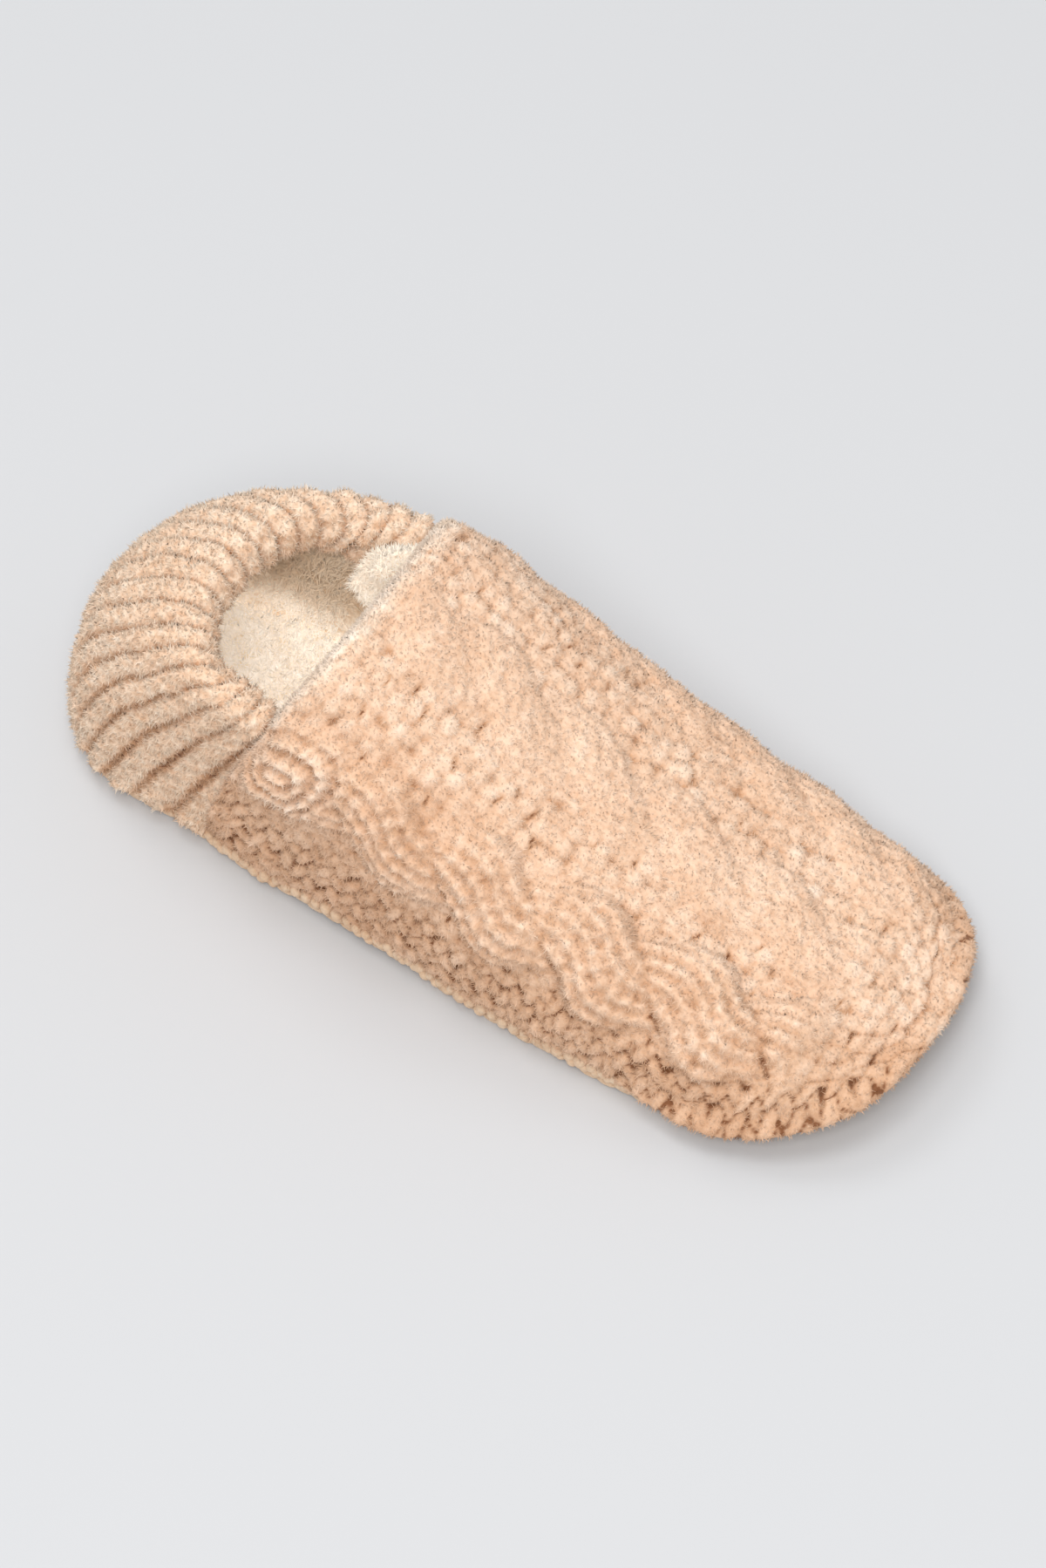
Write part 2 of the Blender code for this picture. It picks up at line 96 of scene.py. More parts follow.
def section(name, share):
    """Read one column of the table at shares of the length, on a smooth curve through its rows."""
    column = TABLE[:, COLUMNS.index(name)]
    along = TABLE[:, 0]
    share = np.clip(share, along[0], along[-1])
    low = np.clip(np.searchsorted(along, share, "left") - 1, 0, len(along) - 2)
    before = np.maximum(low - 1, 0)
    after = np.minimum(low + 2, len(along) - 1)
    span = along[low + 1] - along[low]
    t = (share - along[low]) / span
    slope_low = (column[low + 1] - column[before]) / (along[low + 1] - along[before]) * span
    slope_high = (column[after] - column[low]) / (along[after] - along[low]) * span
    return (
        (2 * t**3 - 3 * t**2 + 1) * column[low]
        + (t**3 - 2 * t**2 + t) * slope_low
        + (3 * t**2 - 2 * t**3) * column[low + 1]
        + (t**3 - t**2) * slope_high
    )


def run_along(points):
    """Length travelled along lines of points, row by row from 0."""
    steps = np.linalg.norm(np.diff(points, axis=0), axis=-1)
    return np.concatenate([np.zeros((1,) + steps.shape[1:]), np.cumsum(steps, axis=0)])


def unit(vectors):
    """Vectors drawn to a length of 1."""
    return vectors / np.maximum(np.linalg.norm(vectors, axis=-1, keepdims=True), 1e-9)


print("half width at the ball:", round(float(section("half_width", 0.76)) * BALL_WIDTH / 2, 4), "m")

# %% [markdown]
# ## The front as a surface
#
# The front is an arch that changes along the foot, so it can be written as a function of two numbers: how
# far along from seam to toe, and how far over from the near side to the far side. It is worked out at a
# coarse grid of the two and read on smooth curves in between, which is quick and has no facets. Stitches and
# cables are then laid out in the same two numbers.

# %% Front surface
ARCH_STEPS = 120
CORNER_INSET = 0.003
TUCK_FADE = 0.006


def round_end(distance, reach, blunt):
    """Share of the full width at a distance from a rounded end."""
    t = 1.0 - np.clip(distance / reach, 0.0, 1.0)
    return (1.0 - t**blunt) ** (1.0 / blunt)


def half_width(x):
    """Half width of the foot form, closed round at heel and toe."""
    width = section("half_width", x / LENGTH) * BALL_WIDTH / 2
    width = width * round_end(x - HEEL_TIP, 0.14 * LENGTH, 2.3)
    return width * round_end(LENGTH - x, 0.20 * LENGTH, 2.6)


def sole_bottom(x):
    """Height of the underside: level, lifted a little at the arch and the toe."""
    share = x / LENGTH
    arch = smooth((share - 0.30) / 0.10) * smooth((0.56 - share) / 0.10)
    return ARCH_LIFT * arch + TOE_SPRING * (np.maximum(share - 0.86, 0.0) / 0.14) ** 2


def sole_edge(x):
    """Height of the edge where the upper meets the sole."""
    return sole_bottom(x) + SIDE_RISE + (TOE_RISE - SIDE_RISE) * smooth((x / LENGTH - 0.84) / 0.15)


def seam_x(z):
    """Where front and heel meet at a height."""
    return SEAM_X + SEAM_LEAN * (np.maximum(z, 0.0) / INSTEP_HEIGHT) ** SEAM_BOW


def arch_points(x, over):
    """Points (y, z) of the arch at x, at a share over it from the near base to the far base."""
    x = np.minimum(np.asarray(x, float), LENGTH)
    base = sole_edge(x) + GAP
    top = section("top", x / LENGTH) * INSTEP_HEIGHT
    top = base + (top - base) * round_end(LENGTH - x, 0.09 * LENGTH, 2.2)
    half = half_width(x) + section("proud", x / LENGTH) * round_end(LENGTH - x, 0.20 * LENGTH, 2.0)
    power = 2.0 / section("square", x / LENGTH)
    angle = np.linspace(0.0, math.pi, ARCH_STEPS + 1)
    sine = np.sin(angle)
    sine[0] = sine[-1] = 0.0
    cosine = np.cos(angle)
    rise = sine[None, :] ** power[:, None]
    y = -half[:, None] * np.sign(cosine) * np.abs(cosine)[None, :] ** power[:, None]
    z = base[:, None] + (top - base)[:, None] * rise
    corner = CORNER_INSET * (1.0 - smooth((x - SEAM_X) / 0.018))[:, None]
    tuck = (SOLE_INSET + corner) * np.exp(-(z - base[:, None]) / TUCK_FADE)
    y = y - np.sign(y) * np.minimum(tuck, np.abs(y)) * (1.0 - rise)
    run = run_along(np.dstack([y.T, z.T])).T
    found = np.empty((len(x), 2))
    for k in range(len(x)):
        target = over[k] * run[k, -1]
        found[k] = np.interp(target, run[k], y[k]), np.interp(target, run[k], z[k])
    return found


def front_points(along, over):
    """World points of the front's surface at shares along (0 seam, 1 toe tip) and over."""
    along = np.asarray(along, float)
    over = np.asarray(over, float)
    x = SEAM_X + (LENGTH - SEAM_X) * along
    for _ in range(3):
        yz = arch_points(x, over)
        edge = seam_x(yz[:, 1]) + GAP / 2
        x = edge + (LENGTH - edge) * along
    return np.column_stack([x - LENGTH / 2, yz])


def finer(grid, rows, columns):
    """Read a grid at more rows and columns, on smooth curves through its points."""
    for axis, count in ((0, rows), (1, columns)):
        size = grid.shape[axis]
        place = np.linspace(0.0, size - 1.0, count + 1)
        low = np.minimum(place.astype(int), size - 2)
        t = (place - low).reshape((-1,) + (1,) * (grid.ndim - 1))
        lines = np.moveaxis(grid, axis, 0)
        before, here = lines[np.maximum(low - 1, 0)], lines[low]
        after, beyond = lines[low + 1], lines[np.minimum(low + 2, size - 1)]
        bend = 2 * before - 5 * here + 4 * after - beyond + t * (3 * (here - after) + beyond - before)
        grid = np.moveaxis(here + 0.5 * t * (after - before + t * bend), 0, axis)
    return grid


FRONT_ROWS, FRONT_COLUMNS = 270, 288
COARSE_ROWS, COARSE_COLUMNS = 136, 133
LINING_STEP = 3
outline_x = SEAM_X + (LENGTH - SEAM_X) * (1.0 - np.linspace(1.0, 0.0, 4001) ** 3)
outline_run = run_along(np.column_stack([outline_x, half_width(outline_x)]))
outline_share = (outline_x - SEAM_X) / (LENGTH - SEAM_X)
along_steps = np.interp(np.linspace(0.0, outline_run[-1], COARSE_ROWS), outline_run, outline_share)
grid_along, grid_over = np.meshgrid(along_steps, np.linspace(0.0, 1.0, COARSE_COLUMNS), indexing="ij")
FRONT = front_points(grid_along.ravel(), grid_over.ravel()).reshape(COARSE_ROWS, COARSE_COLUMNS, 3)
FRONT, grid_along, grid_over = (finer(g, FRONT_ROWS, FRONT_COLUMNS) for g in (FRONT, grid_along, grid_over))
print("front surface:", FRONT.shape, "from", FRONT.min((0, 1)).round(4), "to", FRONT.max((0, 1)).round(4))

# %% [markdown]
# ## The heel as a surface
#
# The heel's ribs run up from the sole, lean in over the foot and roll over the rim to the inside. So its
# surface is a bundle of upright lines: each climbs outside, goes half round the roll, and comes down as a
# folded hem. It is smooth here. The ribs are raised on it later, where they can slant and wander.

# %% Heel surface
RIBS = 19
ROLL_RADIUS = 0.0057
ROLL_DEPTH = 0.017
ROLL_THINS = 0.45
RIM_DROP = 0.0040
RIM_BACK = 0.0385
RIM_SPREAD = 0.002
RIM_ROUND = 0.86
WALL_TURN = math.radians(70.0)
WALL_ROUND = 0.8


def resample(points, count):
    """A polyline read at equal steps of its length."""
    run = run_along(points)
    target = np.linspace(0.0, run[-1], count)
    return np.column_stack([np.interp(target, run, points[:, k]) for k in range(points.shape[1])])


def grid_normals(grid):
    """Outward normals of a grid of points."""
    return unit(np.cross(np.gradient(grid, axis=0), np.gradient(grid, axis=1)))


def rib_profile(place):
    """Swelling of a rib, 0 in a valley and 1 on the crest, for a count of ribs passed."""
    return (1.0 - np.abs(2.0 * (place % 1.0) - 1.0) ** 2.2) ** 0.62


def heel_grid(columns, wall_rows, roll_rows, fold_rows):
    """The heel's outer surface, row by row: up the wall, round the roll and down the fold. Its shares too."""
    base_z = SIDE_RISE + GAP
    top_z = COLLAR_HEIGHT - 0.7 * ROLL_RADIUS
    turn = np.radians(np.linspace(-90.0, 90.0, 361))
    end = seam_x(base_z)
    x = HEEL_TIP + (end - HEEL_TIP) * (1.0 - np.cos(turn))
    base = resample(np.column_stack([x, np.sign(turn) * half_width(x)]), columns)
    rim_end = seam_x(top_z - RIM_DROP)
    x = rim_end - (rim_end - RIM_BACK) * np.cos(turn).clip(0.0) ** RIM_ROUND
    y = np.sign(turn) * (half_width(np.array(SEAM_X)) + RIM_SPREAD) * np.abs(np.sin(turn)) ** RIM_ROUND
    rim = resample(np.column_stack([x, y]), columns)
    share = np.linspace(0.0, 1.0, columns)
    edge = np.abs(2.0 * share - 1.0) ** 2
    angle = WALL_TURN * (np.arange(wall_rows + 1) / wall_rows)[:, None] ** 1.25
    inward = (1.0 - np.cos(angle) ** WALL_ROUND) / (1.0 - math.cos(WALL_TURN) ** WALL_ROUND)
    top = top_z - base_z - RIM_DROP * edge[None, :]
    z = base_z + top * (np.sin(angle) / math.sin(WALL_TURN)) ** WALL_ROUND
    lean = (seam_x(z) - seam_x(base_z)) / (seam_x(base_z + top) - seam_x(base_z))
    forward = inward * (1.0 - edge) + lean * edge
    x = base[:, 0] + (rim[:, 0] - base[:, 0]) * forward
    y = base[:, 1] + (rim[:, 1] - base[:, 1]) * inward
    wall = np.stack([x - LENGTH / 2, y, z], axis=2)
    normal = grid_normals(wall)
    normal[0, :, 2] = 0.0
    radius = ROLL_RADIUS * (1.0 - ROLL_THINS * np.abs(2.0 * share - 1.0) ** 4)
    rows = list(wall)
    tangent = wall[-1] - wall[-2]
    tangent -= normal[-1] * np.sum(tangent * normal[-1], axis=1, keepdims=True)
    tangent = unit(tangent)
    centre = wall[-1] - normal[-1] * radius[:, None]
    for k in range(1, roll_rows + 1):
        bend = math.pi * k / roll_rows
        rows.append(centre + (normal[-1] * math.cos(bend) + tangent * math.sin(bend)) * radius[:, None])
    depth_run = run_along(wall[::-1])
    hem = ROLL_DEPTH * (0.90 + 0.10 * rib_profile(RIBS * share))
    for k in range(1, fold_rows + 1):
        t = k / fold_rows
        depth = hem * min(t / 0.85, 1.0)
        close = smooth((t - 0.70) / 0.30)
        row = np.empty((columns, 3))
        for j in range(columns):
            place = [np.interp(depth[j], depth_run[:, j], wall[::-1][:, j, c]) for c in range(3)]
            out = [np.interp(depth[j], depth_run[:, j], normal[::-1][:, j, c]) for c in range(3)]
            thick = 2.0 * radius[j]
            row[j] = np.array(place) - unit(np.array(out)) * (thick + (WALL - thick) * close)
        rows.append(row)
    return np.array(rows), share


HEEL_WALL, HEEL_ROLL, HEEL_FOLD = 78, 26, 24
HEEL_COLUMNS = 336
HEEL, HEEL_SHARE = heel_grid(HEEL_COLUMNS + 1, HEEL_WALL, HEEL_ROLL, HEEL_FOLD)
print("heel surface:", HEEL.shape, "from", HEEL.min((0, 1)).round(4), "to", HEEL.max((0, 1)).round(4))

# %% [markdown]
# ## Meshes that carry values
#
# A mesh can hold a value at each vertex: how high a stitch stands there, which also sets its painted shade
# and highlight, how dense its pile is, how strong a painted glow it gets. Materials and Geometry Nodes read
# them by name, so one set of numbers gives a surface its colour and its pile, and they stay on the stitches
# that they belong to.

# %% Mesh helpers
def add_object(name, mesh):
    """Link a mesh to the scene as an object."""
    piece = bpy.data.objects.new(name, mesh)
    bpy.context.collection.objects.link(piece)
    return piece


def shade_smooth(mesh):
    """Hide the edges between faces."""
    mesh.polygons.foreach_set("use_smooth", [True] * len(mesh.polygons))


def set_values(mesh, values, kind="FLOAT"):
    """Store named values on a mesh, each one number for all vertices or one entry per vertex."""
    for name, value in values.items():
        if np.ndim(value) == 0:
            value = np.full(len(mesh.vertices), value)
        layer = mesh.attributes.new(name, kind, "POINT")
        key = "vector" if kind == "FLOAT_VECTOR" else "value"
        layer.data.foreach_set(key, np.asarray(value, np.float32).ravel())


def quads(index):
    """Faces over a grid of vertex numbers."""
    corners = np.stack([index[:-1, :-1], index[1:, :-1], index[1:, 1:], index[:-1, 1:]], axis=-1)
    return corners.reshape(-1, 4).tolist()


def keep_normals(mesh):
    """Store the skin's own normals, so that loose fibres can be lit like it."""
    mesh.update()
    normal = np.empty(len(mesh.vertices) * 3, np.float32)
    mesh.vertex_normals.foreach_get("vector", normal)
    set_values(mesh, {"skin_normal": normal}, "FLOAT_VECTOR")


def keep_above_floor(mesh):
    """Nothing reaches below the floor that the shoe stands on."""
    place = np.empty(len(mesh.vertices) * 3, np.float32)
    mesh.vertices.foreach_get("co", place)
    place[2::3] = np.maximum(place[2::3], 0.0)
    mesh.vertices.foreach_set("co", place)


# %% [markdown]
# ## Chenille
#
# Chenille is a core with a dense short pile. From near, the pile tips catch the light and the hollows
# between stitches look darker and warmer, because light bounces there from fibre to fibre. That light and
# shade
# are painted into the colour: each vertex carries a height, 0 at a stitch's foot and 1 at its crown, that
# blends the colour from painted shade in the hollow to a painted highlight at the tip. Fine noise breaks the
# colour and the surface into tufts, and sheen gives the velvet edge. Loose fibres are lit nearly like the
# skin below them, or each would glitter by itself.

# %% Node helpers
def feed(tree, node, inputs):
    """Give a node's inputs their values, or links where the values are sockets."""
    for key, value in inputs.items():
        if isinstance(value, bpy.types.NodeSocket):
            tree.links.new(value, node.inputs[key])
        else:
            node.inputs[key].default_value = value


def add_node(tree, kind, inputs=(), **settings):
    """Add a node with its settings and its inputs."""
    node = tree.nodes.new(kind)
    for key, value in settings.items():
        setattr(node, key, value)
    feed(tree, node, dict(inputs))
    return node


def vector_math(tree, operation, *values):
    """A vector worked out from values or sockets."""
    return add_node(tree, "ShaderNodeVectorMath", dict(enumerate(values)), operation=operation).outputs[0]


def number_math(tree, operation, *values):
    """A number worked out from values or sockets."""
    return add_node(tree, "ShaderNodeMath", dict(enumerate(values)), operation=operation).outputs[0]


# %% Material helpers
def new_material(name):
    """A material, its node tree and its Principled shader."""
    material = bpy.data.materials.new(name)
    material.use_nodes = True
    return material, material.node_tree, material.node_tree.nodes["Principled BSDF"]


def noise(tree, scale, detail):
    """A noise on object coordinates, with a scale per metre."""
    place = add_node(tree, "ShaderNodeTexCoord").outputs["Object"]
    inputs = {"Scale": scale, "Detail": detail, "Roughness": 0.6, "Vector": place}
    return add_node(tree, "ShaderNodeTexNoise", inputs).outputs["Fac"]


def attribute(tree, name, output="Fac"):
    """A value stored on the mesh."""
    return add_node(tree, "ShaderNodeAttribute", attribute_name=name).outputs[output]


def ramp(tree, factor, stops):
    """Colours along a factor, as pairs of position and colour."""
    node = add_node(tree, "ShaderNodeValToRGB", {"Fac": factor})
    elements = node.color_ramp.elements
    while len(elements) < len(stops):
        elements.new(0.5)
    for element, (position, colour) in zip(elements, stops):
        element.position = position
        element.color = (*colour, 1.0)
    return node.outputs["Color"]


def tinted(tree, colour, share, factor, stops):
    """A colour multiplied, to a share, by the colours along a factor. Sockets 6 and 7 take colours."""
    inputs = {0: share, 6: colour, 7: ramp(tree, factor, stops)}
    return add_node(tree, "ShaderNodeMix", inputs, data_type="RGBA", blend_type="MULTIPLY").outputs[2]


def bump(tree, height, strength, distance, normal=None):
    """A bump from a height, over an earlier one if given."""
    inputs = {"Strength": strength, "Distance": distance, "Height": height}
    if normal is not None:
        inputs["Normal"] = normal
    return add_node(tree, "ShaderNodeBump", inputs).outputs["Normal"]


def velvet(tree, shader, colour, normal, roughness, specular, sheen, spread, tint, painted_glow):
    """Give a shader its colour, its normal and its sheen, and a painted glow in its own colour where asked.
    """
    feed(tree, shader, {
        "Base Color": colour,
        "Normal": normal,
        "Roughness": roughness,
        "Specular IOR Level": specular,
        "Sheen Weight": sheen,
        "Sheen Roughness": spread,
        "Sheen Tint": (*tint, 1.0),
        "Emission Strength": attribute(tree, "painted_glow") if painted_glow else 0.0,
    })
    if painted_glow:
        feed(tree, shader, {"Emission Color": colour})


# %% Yarns
# Painted shade under the rim: the colour darkens where the painted glow is low.
PAINTED_SHADE_UNDER_RIM = ((0.05, (0.84, 0.77, 0.68)), (0.34, (1.0, 1.0, 1.0)))
TUFT_TIP = (0.62, (1.05, 1.07, 1.09))
CLOUDS = ((0.35, (0.95, 0.90, 0.86)), (0.65, (1.03, 1.05, 1.07)))
SHADES = ((0.0, (0.95, 0.92, 0.89)), (1.0, (1.03, 1.05, 1.07)))
# Painted highlight: loose fibres grow paler towards their tips.
PAINTED_TIP_HIGHLIGHT = 0.26
LIGHT_FROM_ABOVE = 0.45
OWN_NORMAL = 0.50


def fibre_normal(tree):
    """A fibre's own normal, mixed with that of the skin below it and turned up a little."""
    skin = vector_math(tree, "ADD", attribute(tree, "skin_normal", "Vector"), (0.0, 0.0, LIGHT_FROM_ABOVE))
    own = add_node(tree, "ShaderNodeNewGeometry").outputs["Normal"]
    mixed = vector_math(tree, "MULTIPLY_ADD", own, (OWN_NORMAL, OWN_NORMAL, OWN_NORMAL), skin)
    return vector_math(tree, "NORMALIZE", mixed)


def chenille(name, dye_and_shade, sheen, mottle, loose=False, painted_glow=False):
    """Velvety yarn: colour by height, with painted shade and painted highlight, tufts by noise, and a sheen.
    """
    material, tree, shader = new_material(name)
    tuft = noise(tree, 700.0, 3.0)
    # The fibre tip adds a painted highlight to the height.
    height = number_math(tree, "MULTIPLY_ADD", attribute(tree, "tip"), PAINTED_TIP_HIGHLIGHT, attribute(tree, "height"))
    # Painted shade in the hollows and a painted highlight on the crowns, by height.
    colour = ramp(tree, height, dye_and_shade)
    colour = tinted(tree, colour, 0.5 if painted_glow else 1.0, tuft, ((0.34, mottle), TUFT_TIP))
    colour = tinted(tree, colour, 0.7, noise(tree, 42.0, 2.0), CLOUDS)
    colour = tinted(tree, colour, 1.0, attribute(tree, "shade"), SHADES)
    if painted_glow:
        # Painted shade under the rim.
        colour = tinted(tree, colour, 1.0, attribute(tree, "painted_glow"), PAINTED_SHADE_UNDER_RIM)
    if loose:
        normal = fibre_normal(tree)
    else:
        normal = bump(tree, noise(tree, 2400.0, 2.0), 0.5, 0.0003, bump(tree, tuft, 0.6, 0.0008))
    velvet(tree, shader, colour, normal, 0.95, 0.15, sheen, 0.5, (1.0, 0.82, 0.66), painted_glow)
    return material


def dye_and_shade(*colours, places=(0.02, 0.26, 0.62, 1.0)):
    """Colours from the foot of a stitch to its crown: the yarn's own colour, with painted shade towards the
    foot and a painted highlight towards the crown.
    """
    return tuple(zip(places, colours))


FINE_MOTTLE, DEEP_MOTTLE = (0.93, 0.89, 0.85), (0.84, 0.77, 0.70)
# Each ramp: painted shade at the dark foot, the yarn's colour in the middle, a painted highlight at the pale
# crown.
FRONT_DYE_AND_SHADE = dye_and_shade((0.26, 0.11, 0.05), (0.70, 0.43, 0.27), (0.86, 0.60, 0.43), (0.97, 0.80, 0.65))
RIB_DYE_AND_SHADE = dye_and_shade((0.24, 0.10, 0.05), (0.62, 0.36, 0.21), (0.88, 0.62, 0.44), (0.99, 0.83, 0.67))
SOLE_DYE_AND_SHADE = dye_and_shade((0.26, 0.13, 0.07), (0.60, 0.39, 0.24), (0.78, 0.58, 0.41), (0.92, 0.78, 0.63))
FLEECE_COLOURS = (0.75, 0.58, 0.42), (0.92, 0.78, 0.62), (0.98, 0.86, 0.72), (1.0, 0.93, 0.82)
FLEECE_DYE_AND_SHADE = dye_and_shade(*FLEECE_COLOURS, places=(0.02, 0.30, 0.60, 1.0))
front_yarn = chenille("front_yarn", FRONT_DYE_AND_SHADE, 0.3, FINE_MOTTLE)
front_fibre = chenille("front_fibre", FRONT_DYE_AND_SHADE, 0.10, FINE_MOTTLE, loose=True)
rib_yarn = chenille("rib_yarn", RIB_DYE_AND_SHADE, 0.3, DEEP_MOTTLE)
rib_fibre = chenille("rib_fibre", RIB_DYE_AND_SHADE, 0.10, DEEP_MOTTLE, loose=True)
sole_yarn = chenille("sole_yarn", SOLE_DYE_AND_SHADE, 0.3, FINE_MOTTLE)
sole_fibre = chenille("sole_fibre", SOLE_DYE_AND_SHADE, 0.10, FINE_MOTTLE, loose=True)
fleece_fibre = chenille("fleece_fibre", FLEECE_DYE_AND_SHADE, 0.3, DEEP_MOTTLE, loose=True, painted_glow=True)
print("yarns:", front_yarn.name, rib_yarn.name, sole_yarn.name, "and their loose fibres")

# %% [markdown]
# ## Brushed lining
#
# The inside is brushed pile, far paler than the yarn. Light that passes through the loose knit keeps it
# bright deep inside the shoe, most of all on the footbed. A closed mesh lets none through, so the lining
# gets painted light instead: it glows a little in its own colour, as strongly as a value on the mesh says,
# and is darkened with painted shade under the rim, where that value is low.

# %% Pile material
# Painted glow: strongest on the footbed, faint under the rim, fading between these heights.
GLOW_LOW, GLOW_HIGH = 0.43, 0.05
GLOW_FROM, GLOW_FADE = 0.009, 0.026


def pile(name, deep, pale):
    """Brushed pile: soft clumps, pale tips and fine streaks, with a painted glow and painted shade under the
    rim.
    """
    material, tree, shader = new_material(name)
    clump, lock, hair = noise(tree, 240.0, 3.0), noise(tree, 900.0, 3.0), noise(tree, 3000.0, 2.0)
    colour = ramp(tree, clump, ((0.30, deep), (0.62, pale)))
    colour = tinted(tree, colour, 0.8, lock, ((0.30, (0.86, 0.82, 0.76)), (0.65, (1.05, 1.05, 1.06))))
    colour = tinted(tree, colour, 0.6, hair, ((0.35, (0.90, 0.88, 0.85)), (0.65, (1.06, 1.06, 1.06))))
    # Painted shade under the rim.
    colour = tinted(tree, colour, 1.0, attribute(tree, "painted_glow"), PAINTED_SHADE_UNDER_RIM)
    normal = None
    for height, strength, distance in ((clump, 0.5, 0.0020), (lock, 0.6, 0.0010), (hair, 0.5, 0.0004)):
        normal = bump(tree, height, strength, distance, normal)
    velvet(tree, shader, colour, normal, 1.0, 0.1, 0.4, 0.6, (1.0, 0.95, 0.88), True)
    return material


def painted_glow_at(z):
    """Painted light in place of light through the knit: most on the footbed, little under the rim."""
    return GLOW_LOW + (GLOW_HIGH - GLOW_LOW) * smooth((z - GLOW_FROM) / GLOW_FADE)


lining_pile = pile("lining_pile", (0.70, 0.53, 0.37), (0.98, 0.88, 0.76))
footbed_pile = pile("footbed_pile", (0.80, 0.66, 0.50), (1.0, 0.95, 0.87))
print("piles:", lining_pile.name, footbed_pile.name)

# %% [markdown]
# ## Trees that stand shapes on points
#
# A knitted surface is one small shape repeated thousands of times, which is what Geometry Nodes are for. Both
# trees here end the same way: a shape stands on each point, turned and sized, and the copies are made real at
# the end, so that the result can be kept as a plain mesh.

# %% Tree helpers
def new_tree(name, sockets, output):
    """An empty Geometry Nodes tree with named inputs, given as pairs of name and kind, and one output."""
    tree = bpy.data.node_groups.new(name, "GeometryNodeTree")
    for title, kind in sockets:
        tree.interface.new_socket(title, in_out="INPUT", socket_type="NodeSocket" + kind)
    tree.interface.new_socket(output, in_out="OUTPUT", socket_type="NodeSocketGeometry")
    return tree, tree.nodes.new("NodeGroupInput").outputs


def stored(tree, kind, name):
    """Read a value stored on the points or on the guide."""
    node = add_node(tree, "GeometryNodeInputNamedAttribute", {"Name": name}, data_type=kind)
    return next(s for s in node.outputs if s.enabled and s.name == "Attribute")


def turned_by(tree, rotation, by):
    """A rotation turned further in its own frame."""
    inputs = {"Rotation": rotation, "Rotate By": by}
    return add_node(tree, "FunctionNodeRotateRotation", inputs, rotation_space="LOCAL").outputs["Rotation"]


def stand_on(tree, points, shape, rotation, scale, yarn, output):
    """Stand a shape on each point, make the copies real, dye them and hand them out."""
    shape = add_node(tree, "GeometryNodeObjectInfo", {"Object": shape}).outputs["Geometry"]
    inputs = {"Points": points, "Instance": shape, "Rotation": rotation, "Scale": scale}
    copies = add_node(tree, "GeometryNodeInstanceOnPoints", inputs).outputs["Instances"]
    real = add_node(tree, "GeometryNodeRealizeInstances", {"Geometry": copies}).outputs["Geometry"]
    dyed = add_node(tree, "GeometryNodeSetMaterial", {"Geometry": real, "Material": yarn}).outputs["Geometry"]
    add_node(tree, "NodeGroupOutput", {output: dyed})


def plain_mesh(carrier, name):
    """Keep what a carrier's modifiers make as a plain mesh object, and drop the carrier."""
    bpy.context.view_layer.update()
    shown = carrier.evaluated_get(bpy.context.evaluated_depsgraph_get())
    mesh = bpy.data.meshes.new_from_object(shown)
    mesh.name = name
    bpy.data.objects.remove(carrier, do_unlink=True)
    return add_object(name, mesh)


def grown(name, mesh, tree, values):
    """Run a tree on a mesh with its named inputs, and keep the result."""
    carrier = add_object(name + "_carrier", mesh)
    modifier = carrier.modifiers.new("grow", "NODES")
    modifier.node_group = tree
    for item in tree.interface.items_tree:
        if item.in_out == "INPUT" and item.name in values:
            modifier[item.identifier] = values[item.name]
    piece = plain_mesh(carrier, name)
    keep_above_floor(piece.data)
    return piece


# %% [markdown]
# ## Raising the pile
#
# Chenille and brushed lining are all fibre ends. The first tree scatters points over a skin, as many as the
# skin's own "pile" value asks for, and stands a thin pointed fibre on each, leaning by chance. The fibres
# take the colour of the skin below them and grow paler to the tip, a painted highlight. Hair curves would be
# lighter to handle, but they do not survive an export, so these are real thin spikes.

# %% One fibre
def fibre_spike(name):
    """A thin closed spike of unit length that bends a little and knows its own tip."""
    thirds = (2.0 * math.pi * k / 3.0 for k in range(3))
    corners = [(0.5 * math.cos(a), 0.5 * math.sin(a), -0.25) for a in thirds]
    mesh = bpy.data.meshes.new(name)
    mesh.from_pydata(corners + [(0.55, 0.0, 1.0)], [], [(0, 2, 1), (0, 1, 3), (1, 2, 3), (2, 0, 3)])
    set_values(mesh, {"tip": (0.0, 0.0, 0.0, 1.0)})
    return add_object(name, mesh)


spike = fibre_spike("fibre_spike")
print("one fibre has", len(spike.data.polygons), "faces")


# %% The pile tree
SHORTEST, LONGEST = 0.55, 1.25
PILE_SOCKETS = (
    ("Skin", "Geometry"), ("Fibre", "Object"), ("Yarn", "Material"), ("Density", "Float"),
    ("Length", "Float"), ("Width", "Float"), ("Lean", "Float"), ("Seed", "Int"),
)


